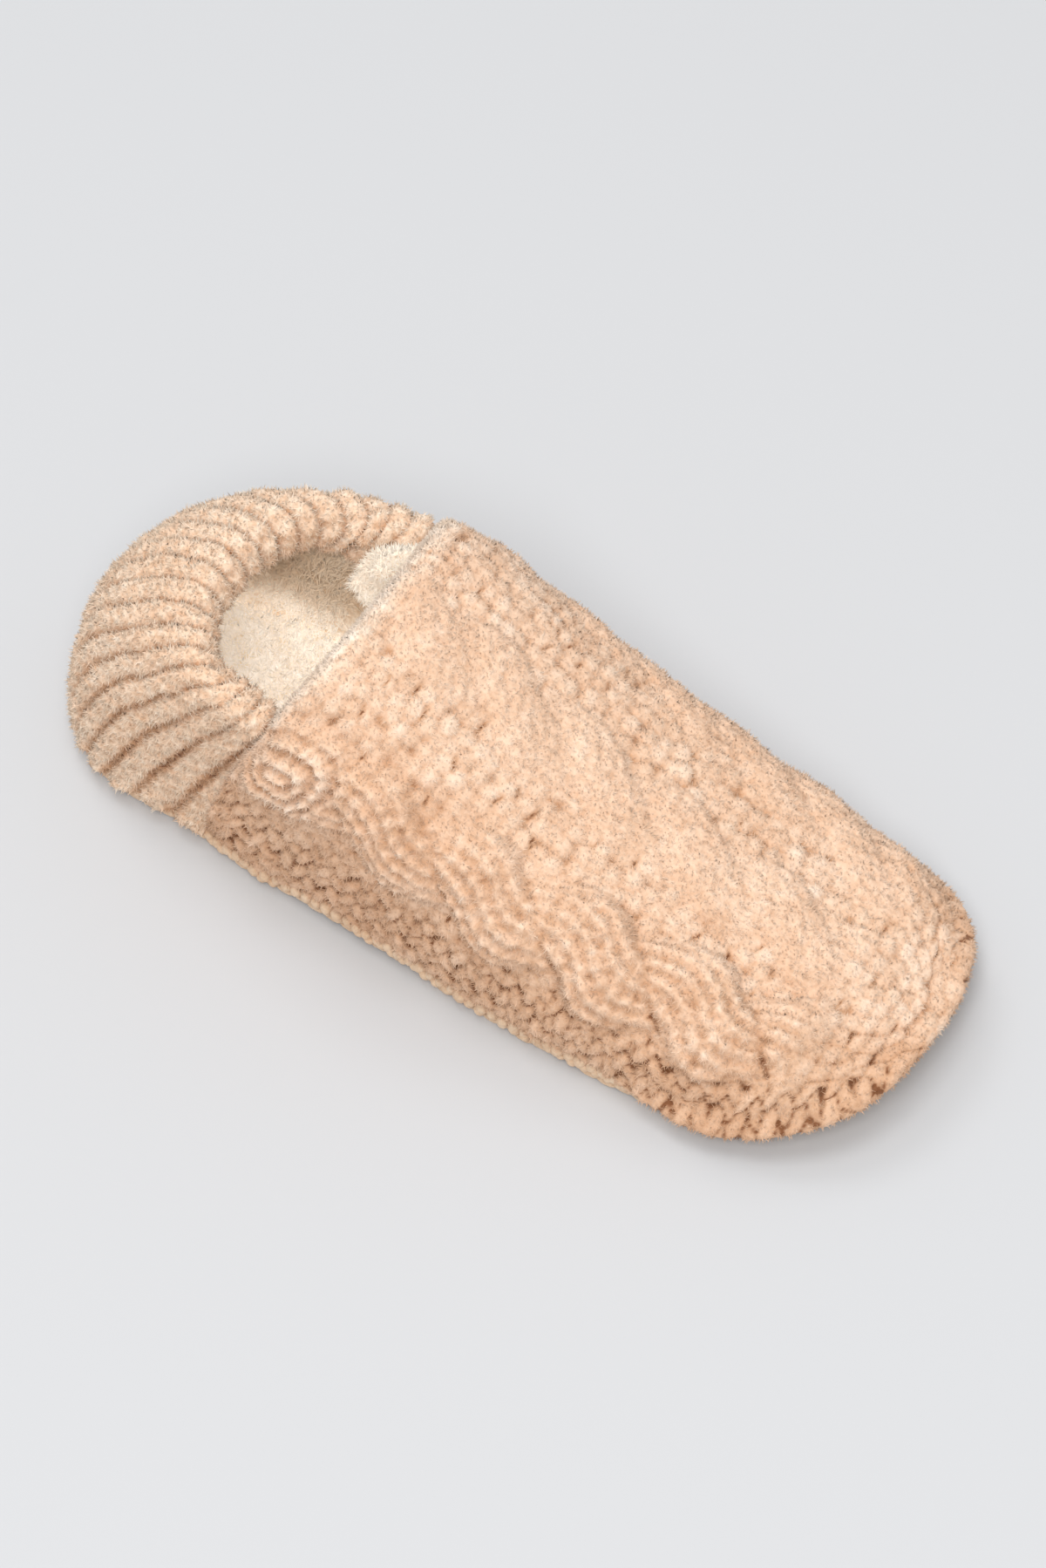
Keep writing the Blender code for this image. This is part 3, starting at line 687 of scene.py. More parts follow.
def pile_tree():
    """Scatter spikes over a skin, each with a lean and a length of its own."""
    tree, given = new_tree("raise_pile", PILE_SOCKETS, "Pile")
    dense = number_math(tree, "MULTIPLY", stored(tree, "FLOAT", "pile"), given["Density"])
    inputs = {"Mesh": given["Skin"], "Density": dense, "Seed": given["Seed"]}
    scatter = add_node(tree, "GeometryNodeDistributePointsOnFaces", inputs).outputs
    inputs = {0: (-1.0, -1.0, -math.pi), 1: (1.0, 1.0, math.pi), "Seed": given["Seed"]}
    chance = add_node(tree, "FunctionNodeRandomValue", inputs, data_type="FLOAT_VECTOR").outputs[0]
    limit = add_node(tree, "ShaderNodeCombineXYZ", {0: given["Lean"], 1: given["Lean"], 2: 1.0}).outputs[0]
    swing = vector_math(tree, "MULTIPLY", chance, limit)
    tilt = add_node(tree, "FunctionNodeEulerToRotation", {0: swing}).outputs[0]
    inputs = {2: SHORTEST, 3: LONGEST, "Seed": given["Seed"]}
    growth = add_node(tree, "FunctionNodeRandomValue", inputs, data_type="FLOAT").outputs[1]
    tall = number_math(tree, "MULTIPLY", growth, given["Length"])
    size = add_node(tree, "ShaderNodeCombineXYZ", {0: given["Width"], 1: given["Width"], 2: tall}).outputs[0]
    rotation = turned_by(tree, scatter["Rotation"], tilt)
    stand_on(tree, scatter["Points"], given["Fibre"], rotation, size, given["Yarn"], "Pile")
    return tree


PILE = pile_tree()
print("tree:", PILE.name, "with", len(PILE.nodes), "nodes")


# %% Skin to pile
def raise_pile(name, skin, yarn, density, length, width, lean, seed, where="pile"):
    """A piece of loose fibres over a skin, as dense as one of the skin's own values says."""
    mesh = skin.data.copy()
    wanted = np.empty(len(mesh.vertices), np.float32)
    mesh.attributes[where].data.foreach_get("value", wanted)
    mesh.attributes["pile"].data.foreach_set("value", wanted)
    piece = grown(name, mesh, PILE, {
        "Fibre": spike, "Yarn": yarn, "Density": density, "Length": length,
        "Width": width, "Lean": lean, "Seed": seed,
    })
    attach(piece, "root")
    print(name + ":", len(piece.data.polygons), "faces")
    return piece


# %% [markdown]
# ## Rope cables and the ground between them
#
# A cable is two strands of knitting that change places every few rows. Seen from above, each strand swings
# from side to side like a slow wave. The one that crosses to the near side lies on top and the one that
# comes back dives below it. The ground is purl: short plump bars laid like bricks. In chenille the stitches
# melt into each other, so the skin is one surface and a height is worked out at every point of it.

# %% Distances on the front
CABLE_WIDTH = 0.023
CABLE_HEIGHTS = (0.0056, 0.0024, 0.0021)
CABLE_CENTRES = (0.235, 0.49, 0.765)
CABLE_LEAF = 0.031
CABLE_FIRST = 0.0275
CABLE_START = -0.004
CABLE_END = 0.014
CABLE_FADE = 0.014
HEM_ROUND = 0.0028
SEAM_ROUND = 0.0015
HEM_WALL = 0.0105
HEM_DEPTH = 0.018

front_normal = grid_normals(FRONT)
front_distance = FRONT[:, :, 0] + LENGTH / 2 - seam_x(FRONT[:, :, 2])
front_normal[:, :, 0] *= smooth((grid_along - 0.04) / 0.09)
front_normal[:, (0, -1), 2] = 0.0
front_normal[-1] = (1.0, 0.0, 0.0)
front_normal = unit(front_normal)
travel = run_along(FRONT)
arch = run_along(FRONT.transpose(1, 0, 2))[-1]
to_toe = LENGTH / 2 - FRONT[:, :, 0]
over_sole = FRONT[:, :, 2] - sole_edge(FRONT[:, :, 0] + LENGTH / 2)
to_side = np.minimum(grid_over, 1.0 - grid_over)
side_fade = smooth(to_side * 16)
print("over the top, seam to toe:", round(float(travel[-1, FRONT_COLUMNS // 2]), 4), "m")


# %% Soft waves
def soften(grid, times=1):
    """Each value mixed with its neighbours in the rows and in the columns."""
    for _ in range(times):
        padded = np.pad(grid, 1, mode="edge")
        grid = 0.25 * padded[:-2] + 0.5 * padded[1:-1] + 0.25 * padded[2:]
        grid = 0.25 * grid[:, :-2] + 0.5 * grid[:, 1:-1] + 0.25 * grid[:, 2:]
    return grid


def waves(points, seed, scale, octaves=3):
    """Soft random waves over points, from a few sine sheets with a fixed seed."""
    random = np.random.default_rng(seed)
    total = np.zeros(points.shape[:-1])
    for octave in range(octaves):
        for _ in range(5):
            direction = unit(random.normal(size=3))
            phase = random.uniform(0, 2 * math.pi)
            total += np.sin(points @ direction * (2 * math.pi * 2**octave / scale) + phase) / 2**octave
    return total / 5


def ripple(turns):
    """A wave between 0 and 1 that repeats with each whole turn."""
    return 0.5 + 0.5 * np.cos(2 * math.pi * turns)


# %% The shape of a cable
CORD_PITCH = 0.0037
CORD_SHARE = 0.64
LOOP_PITCH = 0.0040
LOOP_LEAN = 0.30


def strand_place(distance, strand):
    """Offset, height share and reach of one strand at a distance from the seam."""
    turn = math.pi * ((distance - CABLE_FIRST) / CABLE_LEAF + strand)
    swing = np.cos(turn)
    middle = 0.22 * CABLE_WIDTH * np.sign(swing) * np.abs(swing) ** 0.8
    on_top = smooth(0.5 + 0.5 * np.sin(turn))
    return middle, 0.32 + 0.74 * on_top, (0.31 + 0.16 * on_top) * CABLE_WIDTH


def cable_field(distance, offset):
    """One cable: its rise, the cords on it, and the creases between its strands and at its edges."""
    rises, cords = [], []
    for strand in (0.0, 1.0):
        middle, over, width = strand_place(distance, strand)
        aside = offset - middle
        reach = np.minimum(np.abs(aside) / width, 1.0)
        rises.append(over * (1.0 - reach**2.3) ** 0.7)
        lean = LOOP_LEAN * np.abs((aside / CORD_PITCH) % 1.0 - 0.5)
        cord = ripple(aside / CORD_PITCH)
        loop = ripple(distance / LOOP_PITCH + lean + 0.5 * np.round(aside / CORD_PITCH))
        clear = (1.0 - 0.35 * reach**3) * (0.10 + 0.90 * np.minimum(over, 1.0))
        cords.append((CORD_SHARE * cord + (1.0 - CORD_SHARE) * loop - 0.5) * clear + 0.5)
    top = rises[0] > rises[1]
    rise = np.where(top, rises[0], rises[1])
    cord = np.where(top, cords[0], cords[1])
    edge = 1.0 - smooth(np.abs(rises[0] - rises[1]) / 0.22)
    return rise, cord, edge * smooth(rise / 0.3)


# %% The first leaf
KNOT_PLACE = 0.0115
KNOT_CORE = 0.0030
KNOT_PITCH = 0.0044
KNOT_REACH = 0.0155
NEAR_NARROWING = 0.90


def add_knot(rise, cord, edge, offset):
    """The near cable's first leaf is a mound at the throat with oval rings of cord."""
    ahead = travel - KNOT_PLACE
    ring = np.hypot(np.maximum(np.abs(ahead) - KNOT_CORE, 0.0), offset) + 0.0007 * waves(FRONT, 22, 0.011, 2)
    knot = 1.0 - smooth((ring - 0.0115) / 0.003)
    barbs = np.round(2 * math.pi * (np.round(ring / KNOT_PITCH) * KNOT_PITCH + 0.003) / LOOP_PITCH)
    rings = 0.55 + 0.60 * np.cos(2 * math.pi * ring / KNOT_PITCH)
    rings += 0.28 * np.cos(barbs * np.arctan2(offset, ahead))
    rise = np.maximum(rise, (1.0 - np.clip(ring / KNOT_REACH, 0.0, 1.0) ** 2.4) * 1.10)
    return rise, cord + (rings - cord) * knot, edge * (1.0 - knot)


# %% The shape of the ground
SLIT_SHARE = 0.11
GROUND_RELIEF = 0.0015
SIDE_RELIEF = 0.0020
STITCHES_OVER = 130
STITCH_CREASE = 0.28


def dome_height(aside, up, half):
    """Height of a plump stitch at a place from its middle."""
    return np.sqrt(np.maximum(1.0 - (aside / half[0]) ** 2 - (up / half[1]) ** 2, 0.0))


def stitch_field(distance, over, width, pitch, bar, half, tilt, axis, seed):
    """Plump stitches like bricks: height 0 to 1, how near a crease, a tone for each, and rare open slits."""
    random = np.random.default_rng(seed)
    courses = int(distance.max() / pitch) + 5
    size = (courses, STITCHES_OVER)
    shift = random.normal(0.0, 0.15, (*size, 2))
    plump = random.normal(1.0, 0.14, size)
    turn = random.normal(0.0, 0.14, size) + tilt * (np.indices(size)[axis] % 2 * 2 - 1)
    tone = random.uniform(0.0, 1.0, size)
    open_slit = random.uniform(0.0, 1.0, size) < SLIT_SHARE
    middle = distance[:, distance.shape[1] // 2]
    count = np.maximum(np.round(np.interp((np.arange(courses) - 1) * pitch, middle, width) / bar), 3.0)
    height, second, shade, slit = (np.zeros_like(distance) for _ in range(4))
    near = np.round(distance / pitch).astype(int)
    for course in (-1, 0, 1):
        k = np.clip(near + course + 1, 0, courses - 1)
        phase = 0.5 * (k % 2)
        low = np.floor(over * count[k] - phase).astype(int)
        for place in (low, low + 1):
            j = np.clip(place + 1, 0, STITCHES_OVER - 1)
            aside = (over - (place + phase + shift[k, j, 0]) / count[k]) * width[:, None]
            below = distance - (k - 1 + shift[k, j, 1]) * pitch
            across = aside * np.cos(turn[k, j]) + below * np.sin(turn[k, j])
            up = below * np.cos(turn[k, j]) - aside * np.sin(turn[k, j])
            dome = plump[k, j] * dome_height(across, up, half)
            higher = dome > height
            second = np.where(higher, height, np.maximum(second, dome))
            shade = np.where(higher, tone[k, j], shade)
            height = np.maximum(height, dome)
            gap = np.exp(-(((up - 0.52 * pitch) / 0.00048) ** 2) - (across / (0.38 * bar)) ** 2)
            slit = np.maximum(slit, gap * open_slit[k, j])
    return height, 1.0 - smooth((height - second) / STITCH_CREASE), shade, slit


course_run = np.tile(travel.mean(axis=1)[:, None], (1, FRONT_COLUMNS + 1))
course_run = np.clip(course_run + 0.0007 * waves(FRONT, 13, 0.016, 2), 0.0, None)
drift = grid_over + 0.0007 * waves(FRONT, 14, 0.014, 2) * smooth(grid_over * (1.0 - grid_over) * 40) / 0.2
bricks = stitch_field(course_run, drift, arch, 0.0049, 0.0054, (0.0038, 0.0033), 0.26, 1, 11)
upright = stitch_field(course_run, drift, arch, 0.0034, 0.0072, (0.0050, 0.0022), 0.36, 0, 12)
side = 1.0 - smooth((to_side - 0.10) / 0.07)
ground, crease, tone, slit = (b + (u - b) * side for b, u in zip(bricks, upright))
ground += 0.5 * (soften(ground) - ground) * (1.0 - side)
tone = soften(tone)
print("ground relief", GROUND_RELIEF, "m, at the sides", SIDE_RELIEF, "m")

# %% [markdown]
# ## The front's shell
# Outside, the closed wall carries the ground, the cables and a fine random unevenness. Over the toe it bulges
# into a soft fold. Inside it is lined with pile and has a third of the points each way, since nobody sees
# stitches there. A second set of heights, 0 to 1, sets the colour with painted light and shade: painted
# shade, darker and warmer, at the feet of the stitches, in the creases, in the open slits, under the toe's
# fold and down the sides, and a painted highlight on the crowns, the raised cables and the throat's edge.

# %% Cables on the front
front_rise, cable_cover, cord_relief, strand_edge = (np.zeros_like(travel) for _ in range(4))
fade = smooth((travel - CABLE_START) / CABLE_FADE) * smooth((to_toe - CABLE_END) / CABLE_FADE)
uneven_line = 0.0006 * waves(FRONT, 17, 0.030, 2) + 0.0003 * waves(FRONT, 18, 0.0050, 2)
for centre, tall in zip(CABLE_CENTRES, CABLE_HEIGHTS):
    offset = (grid_over - centre) * arch[:, None] + uneven_line
    if centre == CABLE_CENTRES[0]:
        offset *= NEAR_NARROWING
        rise, cord, edge = add_knot(*cable_field(travel, offset), offset)
    else:
        rise, cord, edge = cable_field(travel, offset)
        cord, edge = soften(cord, 2), soften(edge, 2)
    height_share = tall / CABLE_HEIGHTS[0]
    front_rise += tall * rise * fade
    cable_cover += smooth(rise / 0.25) * fade
    cord_relief += soften(cord * smooth(rise / 0.35)) * fade * (tall / 0.0050) ** 0.5
    # The creases between strands deepen towards the near side; in the colour this is painted shade.
    strand_edge += edge * fade * height_share**1.4 * (0.25 + 0.75 * smooth((0.002 - offset) / 0.012))
front_rise *= side_fade
cable_cover = np.clip(cable_cover, 0.0, 1.0)
cord_relief -= 0.5 * cable_cover
print("cables stand up to", round(float(front_rise.max()) * 1000, 2), "mm over the ground")


# %% Front relief
def hem_drop(distance, height):
    """How far the edge is rounded off: fully at the throat, only a little where the front meets the heel."""
    radius = SEAM_ROUND + (HEM_ROUND - SEAM_ROUND) * smooth((height - 0.050) / 0.014)
    inside = np.maximum(radius - distance, 0.0)
    return radius - np.sqrt(np.maximum(radius**2 - inside**2, 0.0))


ground_share = 1.0 - 0.8 * cable_cover
slit = slit * (1.0 - 0.6 * side) * ground_share
near_share = smooth((0.36 - grid_over) / 0.10)
toe_share = smooth((0.28 - to_toe / LENGTH) / 0.14)
fold = toe_share * np.exp(-(((over_sole - 0.0024) / 0.0026) ** 2))
relief = (GROUND_RELIEF + (SIDE_RELIEF - GROUND_RELIEF) * side) * (1.0 - 0.6 * fold)
outer_lift = front_rise + ground_share * relief * (ground - 0.85)
outer_lift += (0.0015 + 0.0011 * near_share) * cord_relief
outer_lift += (0.00022 + 0.00036 * cable_cover) * waves(FRONT, 19, 0.0036, 2)
outer_lift += 0.0004 * waves(FRONT, 20, 0.022, 1)
outer_lift += 0.0042 * fold - 0.0013 * strand_edge - 0.0008 * slit
outer_lift -= hem_drop(front_distance, FRONT[:, :, 2]) * side_fade
outer_lift[-1] = 0.5 * (outer_lift[-1] + outer_lift[-1][::-1])

# %% Front colour, with painted shade and highlight
# Painted shadow in the crease under the toe's fold, and painted light on the throat's edge.
toe_crease_shadow = toe_share * (1.0 - smooth((over_sole - 0.0002) / 0.0010))
throat_painted_light = (1.0 - smooth(front_distance / 0.006)) * smooth((FRONT[:, :, 2] - 0.050) / 0.014)
# Painted shade at the feet of the stitches, in the creases, between the strands and in the open slits;
# painted highlight on the crowns and the cords.
front_shading = 0.60 + 0.42 * (ground - 0.75) * ground_share - 0.10 * crease * ground_share * (1.0 + side)
front_shading += (0.15 + 0.30 * near_share) * cord_relief - 0.42 * strand_edge - 0.62 * slit
front_shading += (0.07 + 0.12 * near_share) * waves(FRONT, 21, 0.0036, 2) * cable_cover
front_shading += 0.30 * throat_painted_light - 0.45 * toe_crease_shadow
# Painted highlight on the raised cables, painted shade down the sides and most on the near side.
front_shading += 10.0 * front_rise - 0.12 * side - 0.20 * near_share
print("dye heights from", front_shading.min().round(2), "to", front_shading.max().round(2))


# %% Closing a shell
SEAM_MERGE = 1e-7


def close_shell(name, grids, faces, materials, slots, floats):
    """A mesh over grids of points, merged where they meet, with all faces turned outwards."""
    mesh = bpy.data.meshes.new(name)
    points = np.concatenate([grid.reshape(-1, 3) for grid in grids])
    mesh.from_pydata(points.tolist(), [], faces)
    for material in materials:
        mesh.materials.append(material)
    mesh.polygons.foreach_set("material_index", slots)
    shade_smooth(mesh)
    for key, parts in floats.items():
        filled = [np.broadcast_to(part, grid.shape[:2]).ravel() for part, grid in zip(parts, grids)]
        set_values(mesh, {key: np.concatenate(filled)})
    # Painted glow by height; the lining and its fleece read it.
    set_values(mesh, {"painted_glow": painted_glow_at(points[:, 2])})
    bm = bmesh.new()
    bm.from_mesh(mesh)
    bmesh.ops.remove_doubles(bm, verts=bm.verts, dist=SEAM_MERGE)
    bmesh.ops.recalc_face_normals(bm, faces=bm.faces)
    bm.to_mesh(mesh)
    open_edges = sum(1 for edge in bm.edges if len(edge.link_faces) != 2)
    bm.free()
    keep_normals(mesh)
    print(name, "has", open_edges, "open edges")
    return add_object(name, mesh)



# %% Front shell
def front_shell_object():
    """A closed wall whose lining has a third of the points of its knitted side."""
    hem = 1.0 - smooth((front_distance - 0.7 * HEM_DEPTH) / (0.5 * HEM_DEPTH))
    hem *= smooth((FRONT[:, :, 2] - SOLE_TOP) / HEM_DEPTH)
    wall = WALL + (HEM_WALL - WALL) * hem - 0.0005 * waves(FRONT, 3, 0.012)
    outer = FRONT + front_normal * outer_lift[:, :, None]
    inner = FRONT - front_normal * wall[:, :, None]
    inner[-1] = FRONT[-1] - np.array([WALL, 0.0, 0.0])
    for grid in (outer, inner):
        grid[0, :, 0] = seam_x(grid[0, :, 2]) - LENGTH / 2 + 0.0002
    inner = inner[::LINING_STEP, ::LINING_STEP]
    outside = np.arange(outer.shape[0] * outer.shape[1]).reshape(outer.shape[:2])
    inside = np.arange(inner.shape[0] * inner.shape[1]).reshape(inner.shape[:2]) + outside.size
    knitted_faces, lined_faces = quads(outside), quads(inside[:, ::-1])
    edge_faces = []
    borders = (outside[0], inside[0]), (outside[:, 0], inside[:, 0]), (outside[:, -1], inside[:, -1])
    for line, lined in borders:
        for k in range(len(lined) - 1):
            knitted = line[k * LINING_STEP:(k + 1) * LINING_STEP + 1]
            edge_faces.append([*knitted.tolist(), int(lined[k + 1]), int(lined[k])])
    slots = [0] * len(knitted_faces) + [1] * len(lined_faces) + [0] * len(edge_faces)
    lined_shading = np.full(inner.shape[:2], 0.5)
    # The end strip along the front's back edge gets painted light.
    lined_shading[0] = 1.0
    hem_pile = np.zeros(inner.shape[:2])
    hem_pile[0] = 1.8 * smooth((inner[0, :, 2] - 0.040) / 0.010)
    dense = (1.0 + 0.8 * (1.0 - smooth(front_distance / 0.008))) * (1.0 - 0.5 * np.clip(slit, 0.0, 1.0))
    seen = 1.0 - smooth((inner[:, :, 0] - 0.005) / 0.02)
    seen[:, :3] = seen[:, -3:] = 0.0
    throat = smooth((inner[:, :, 2] - 0.052) / 0.008)
    seen *= smooth((front_distance[::LINING_STEP, ::LINING_STEP] - 0.005 + 0.0045 * throat) / 0.004)
    faces = knitted_faces + lined_faces + edge_faces
    return close_shell("front_shell", (outer, inner), faces, (front_yarn, lining_pile), slots, {
        "height": (front_shading, lined_shading),
        "shade": (tone, 0.5),
        "pile": (dense, hem_pile),
        "fleece": (0.0, seen),
    })


front_shell = front_shell_object()
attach(front_shell, "root")
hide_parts("upper_vamp")
raise_pile("front_pile", front_shell, front_fibre, 1.15e6, 0.0013, 0.00042, 0.8, 51)
raise_pile("front_fleece", front_shell, fleece_fibre, 6e5, 0.0030, 0.0007, 1.1, 61, "fleece")

# %% [markdown]
# ## The ribbed heel
#
# The shell of the heel is one ring: up outside, round the roll, down the folded hem, and then down the
# lined wall to the sole. Its two ends are closed where they meet the front. The ribs slant a little and their
# valleys wander. The valleys are darkened with painted shade, hold short raised purl bars with painted shade
# between them low on the wall, and are only thin lines on the roll, where the ribs swell.

# %% Ribs and valleys
RIB_SWELL = 0.0029
FOLD_SWELL = 0.75
DASH_PITCH = 0.0036
LEG_PITCH = 0.0040
SLANT_REACH = 0.056


climb = run_along(HEEL)
to_end = np.minimum(HEEL_SHARE, 1.0 - HEEL_SHARE)
wander = 0.09 * waves(HEEL, 29, 0.026, 2) + 0.05 * waves(HEEL, 30, 0.007, 1)
wander *= smooth(to_end * RIBS)
depth = np.clip(1.0 - climb / SLANT_REACH, 0.0, 1.0)
slant = 1.3 * np.sin(2 * math.pi * HEEL_SHARE) + 0.8 * np.cos(math.pi * HEEL_SHARE)
rib_place = (RIBS * HEEL_SHARE[None, :] + wander - depth * slant[None, :]) % 1.0
crest = 1.0 - np.abs(2.0 * rib_place - 1.0)
low_wall = 1.0 - smooth((climb - 0.030) / 0.030)
dash = ripple(climb / DASH_PITCH + 0.35 * waves(HEEL, 31, 0.012, 1))
valley = 1.0 - smooth((crest + 0.08 * waves(HEEL, 33, 0.005, 2)) / (0.22 + 0.28 * low_wall))
leg_lean = np.where(rib_place < 0.5, 0.77, -0.77) * np.abs(rib_place - 0.5)
legs = ripple(climb / LEG_PITCH - leg_lean + 0.25 * waves(HEEL, 35, 0.016, 1)) - 0.5
print("ribs climb up to", round(float(climb.max()), 4), "m")

# %% Heel relief
heel_normal = grid_normals(HEEL)
heel_normal[0, :, 2] = 0.0
heel_normal = unit(heel_normal)
row = np.arange(len(HEEL), dtype=float)
swell = 1.0 - (1.0 - FOLD_SWELL) * np.clip((row - HEEL_WALL) / HEEL_ROLL, 0.0, 1.0)
swell *= 1.0 - smooth((row - HEEL_WALL - HEEL_ROLL - 0.6 * HEEL_FOLD) / (0.4 * HEEL_FOLD))
heel_lift = soften(RIB_SWELL * swell[:, None] * rib_profile(rib_place) - 0.0004, 2)
heel_lift += 0.00030 * legs * smooth(crest / 0.4) + 0.0007 * valley * low_wall * (dash - 0.4)
heel_lift += 0.00065 * waves(HEEL, 37, 0.0042, 2) + 0.0006 * waves(HEEL, 39, 0.012, 2) - 0.0003 * valley
# Colour with painted shade and highlight: lighter on the stitch legs, darker in the valleys, unevenly at
# random and most low on the wall between the purl bars.
uneven_valley_shade = smooth(0.5 + 0.6 * waves(HEEL, 43, 0.018, 2))
heel_shading = 0.72 + 0.14 * legs + 0.15 * waves(HEEL, 41, 0.0042, 2)
heel_shading -= valley * (0.30 + 0.22 * uneven_valley_shade + 0.26 * low_wall * (1.0 - dash))
print("heel relief from", heel_lift.min().round(4), "to", heel_lift.max().round(4), "m")


# %% Heel shell
LINED_ROWS = 15


def heel_shell_object():
    """A closed ring of rows, with the lined wall in a second material."""
    outer = HEEL + heel_normal * heel_lift[:, :, None]
    wall, _ = heel_grid(HEEL.shape[1], 20, 2, 2)
    normal = grid_normals(wall)[LINED_ROWS - 1::-1]
    wall = wall[LINED_ROWS - 1::-1]
    normal[-1, :, 2] = 0.0
    lined = wall - unit(normal) * (WALL - 0.0008 * waves(wall, 5, 0.012))[:, :, None]
    for grid in (outer, lined):
        for end in (0, -1):
            grid[:, end, 0] = seam_x(grid[:, end, 2]) - LENGTH / 2 - GAP / 2
    rows, columns = len(outer) + len(lined), HEEL.shape[1]
    index = np.arange(rows * columns).reshape(rows, columns)
    faces = quads(np.concatenate([index, index[:1]])) + [index[:, 0].tolist(), index[::-1, -1].tolist()]
    slots = np.zeros((rows, columns - 1), np.int32)
    slots[len(outer) - 1:rows - 1] = 1
    seen = smooth((to_end - 0.03) / 0.02) * np.ones((len(lined), 1))
    seen[-2:] = 0.0
    slots = slots.ravel().tolist() + [0, 0]
    return close_shell("heel_shell", (outer, lined), faces, (rib_yarn, lining_pile), slots, {
        "height": (heel_shading, 0.5),
        "shade": (0.5, 0.5),
        "pile": (1.0, 0.0),
        "fleece": (0.0, seen),
    })


heel_shell = heel_shell_object()
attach(heel_shell, "root")
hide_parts("heel_collar")
raise_pile("heel_pile", heel_shell, rib_fibre, 1.5e6, 0.0015, 0.00045, 0.85, 52)
raise_pile("heel_fleece", heel_shell, fleece_fibre, 1.0e6, 0.0034, 0.0007, 1.1, 62, "fleece")

# %% [markdown]
# ## Sole and footbed
#
# The knitted sole and the footbed keep the shape of their solids. A voxel remesh gives them an even skin and
# a little smoothing softens the corners. The sole then gets its own bricks of stitches, upright round the
# edge and flat below. Small waves make the footbed lie unevenly, as a trodden lining does.

# %% Soft copies of solids
def soft_copy(name, node, voxel):
    """A remeshed, smoothed copy of a solid, with its points and outward directions."""
    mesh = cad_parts[node].data.copy()
    piece = add_object(name, mesh)
    bm = bmesh.new()
    bm.from_mesh(mesh)
    bmesh.ops.remove_doubles(bm, verts=bm.verts, dist=1e-6)
    bm.to_mesh(mesh)
    bm.free()
    remesh = piece.modifiers.new("skin", "REMESH")
    remesh.mode = "VOXEL"
    remesh.voxel_size = voxel
    relax = piece.modifiers.new("relax", "SMOOTH")
    relax.factor = 0.5
    relax.iterations = 6
    piece = plain_mesh(piece, name)
    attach(piece, "root")
    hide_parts(node)
    print(name + ":", len(piece.data.polygons), "faces")
    place = np.empty(len(piece.data.vertices) * 3, np.float32)
    outward = np.empty_like(place)
    piece.data.vertices.foreach_get("co", place)
    piece.data.vertex_normals.foreach_get("vector", outward)
    return piece, place.reshape(-1, 3).astype(float), outward.reshape(-1, 3).astype(float)


def finish_copy(piece, place, material, floats):
    """Put the moved points back and give the copy its finish."""
    mesh = piece.data
    mesh.vertices.foreach_set("co", place.astype(np.float32).ravel())
    shade_smooth(mesh)
    mesh.materials.clear()
    mesh.materials.append(material)
    set_values(mesh, {"shade": 0.5, **floats})
    keep_normals(mesh)


# %% Stitches on the sole
def brick_field(across, along, bar, pitch, half, seed, table=(64, 256)):
    """Plump stitches like bricks on plain coordinates: height 0 to 1 and how near a crease."""
    random = np.random.default_rng(seed)
    shift = random.normal(0.0, 0.10, (*table, 2))
    plump = random.normal(1.0, 0.14, table)
    height, second = np.zeros_like(across), np.zeros_like(across)
    near = np.round(along / pitch).astype(int)
    for course in (-1, 0, 1):
        k = near + course
        phase = 0.5 * (k % 2)
        low = np.floor(across / bar - phase).astype(int)
        for number in (low, low + 1):
            a, b = k % table[0], number % table[1]
            aside = across - (number + phase + shift[a, b, 0]) * bar
            dome = plump[a, b] * dome_height(aside, along - (k + shift[a, b, 1]) * pitch, half)
            second = np.where(dome > height, height, np.maximum(second, dome))
            height = np.maximum(height, dome)
    return height, 1.0 - smooth((height - second) / STITCH_CREASE)


# %% Sole
sole_knit, place, outward = soft_copy("sole_knit", "sole", 0.00105)
line_x = np.linspace(HEEL_TIP, LENGTH, 400)
line_y = half_width(line_x)
line_run = run_along(np.column_stack([line_x, line_y]))
angle = np.arctan2(np.abs(place[:, 1]) / BALL_WIDTH, place[:, 0] / LENGTH)
line_angle = np.arctan2(line_y / BALL_WIDTH, (line_x - LENGTH / 2) / LENGTH)
around = np.interp(-angle, -line_angle, line_run) * np.sign(place[:, 1]) + 0.5
upright, seam = brick_field(around, place[:, 2], 0.0036, 0.0052, (0.0023, 0.0036), 71)
flat, flat_seam = brick_field(place[:, 1] + 0.5, place[:, 0] + 0.5, 0.0046, 0.0040, (0.0031, 0.0027), 72)
under = smooth((-outward[:, 2] - 0.55) / 0.3)
stitch = upright + (flat - upright) * under
seam = seam + (flat_seam - seam) * under
sole_lift = 0.0016 * (stitch - 0.75) * (1.0 - under) + 0.0005 * (stitch - 1.0) * under
place = place + outward * (sole_lift + 0.0002 * waves(place, 73, 0.004, 2))[:, None]
place[:, 2] = np.maximum(place[:, 2], 0.0)
tuck = smooth((place[:, 2] - sole_edge(place[:, 0] + LENGTH / 2) + 0.0024) / 0.0020) * (1.0 - under)
place = place - outward * (0.0022 * tuck)[:, None]
# Colour with painted shade and highlight: lighter on the stitch crowns, darker in the creases, and a painted
# shadow where the sole tucks in under the upper.
sole_shading = 0.62 + 0.30 * (stitch - 0.8) - 0.08 * seam - 0.50 * tuck
finish_copy(sole_knit, place, sole_yarn, {"height": sole_shading, "pile": 1.0 - under})
raise_pile("sole_pile", sole_knit, sole_fibre, 0.95e6, 0.0012, 0.00042, 0.8, 53)

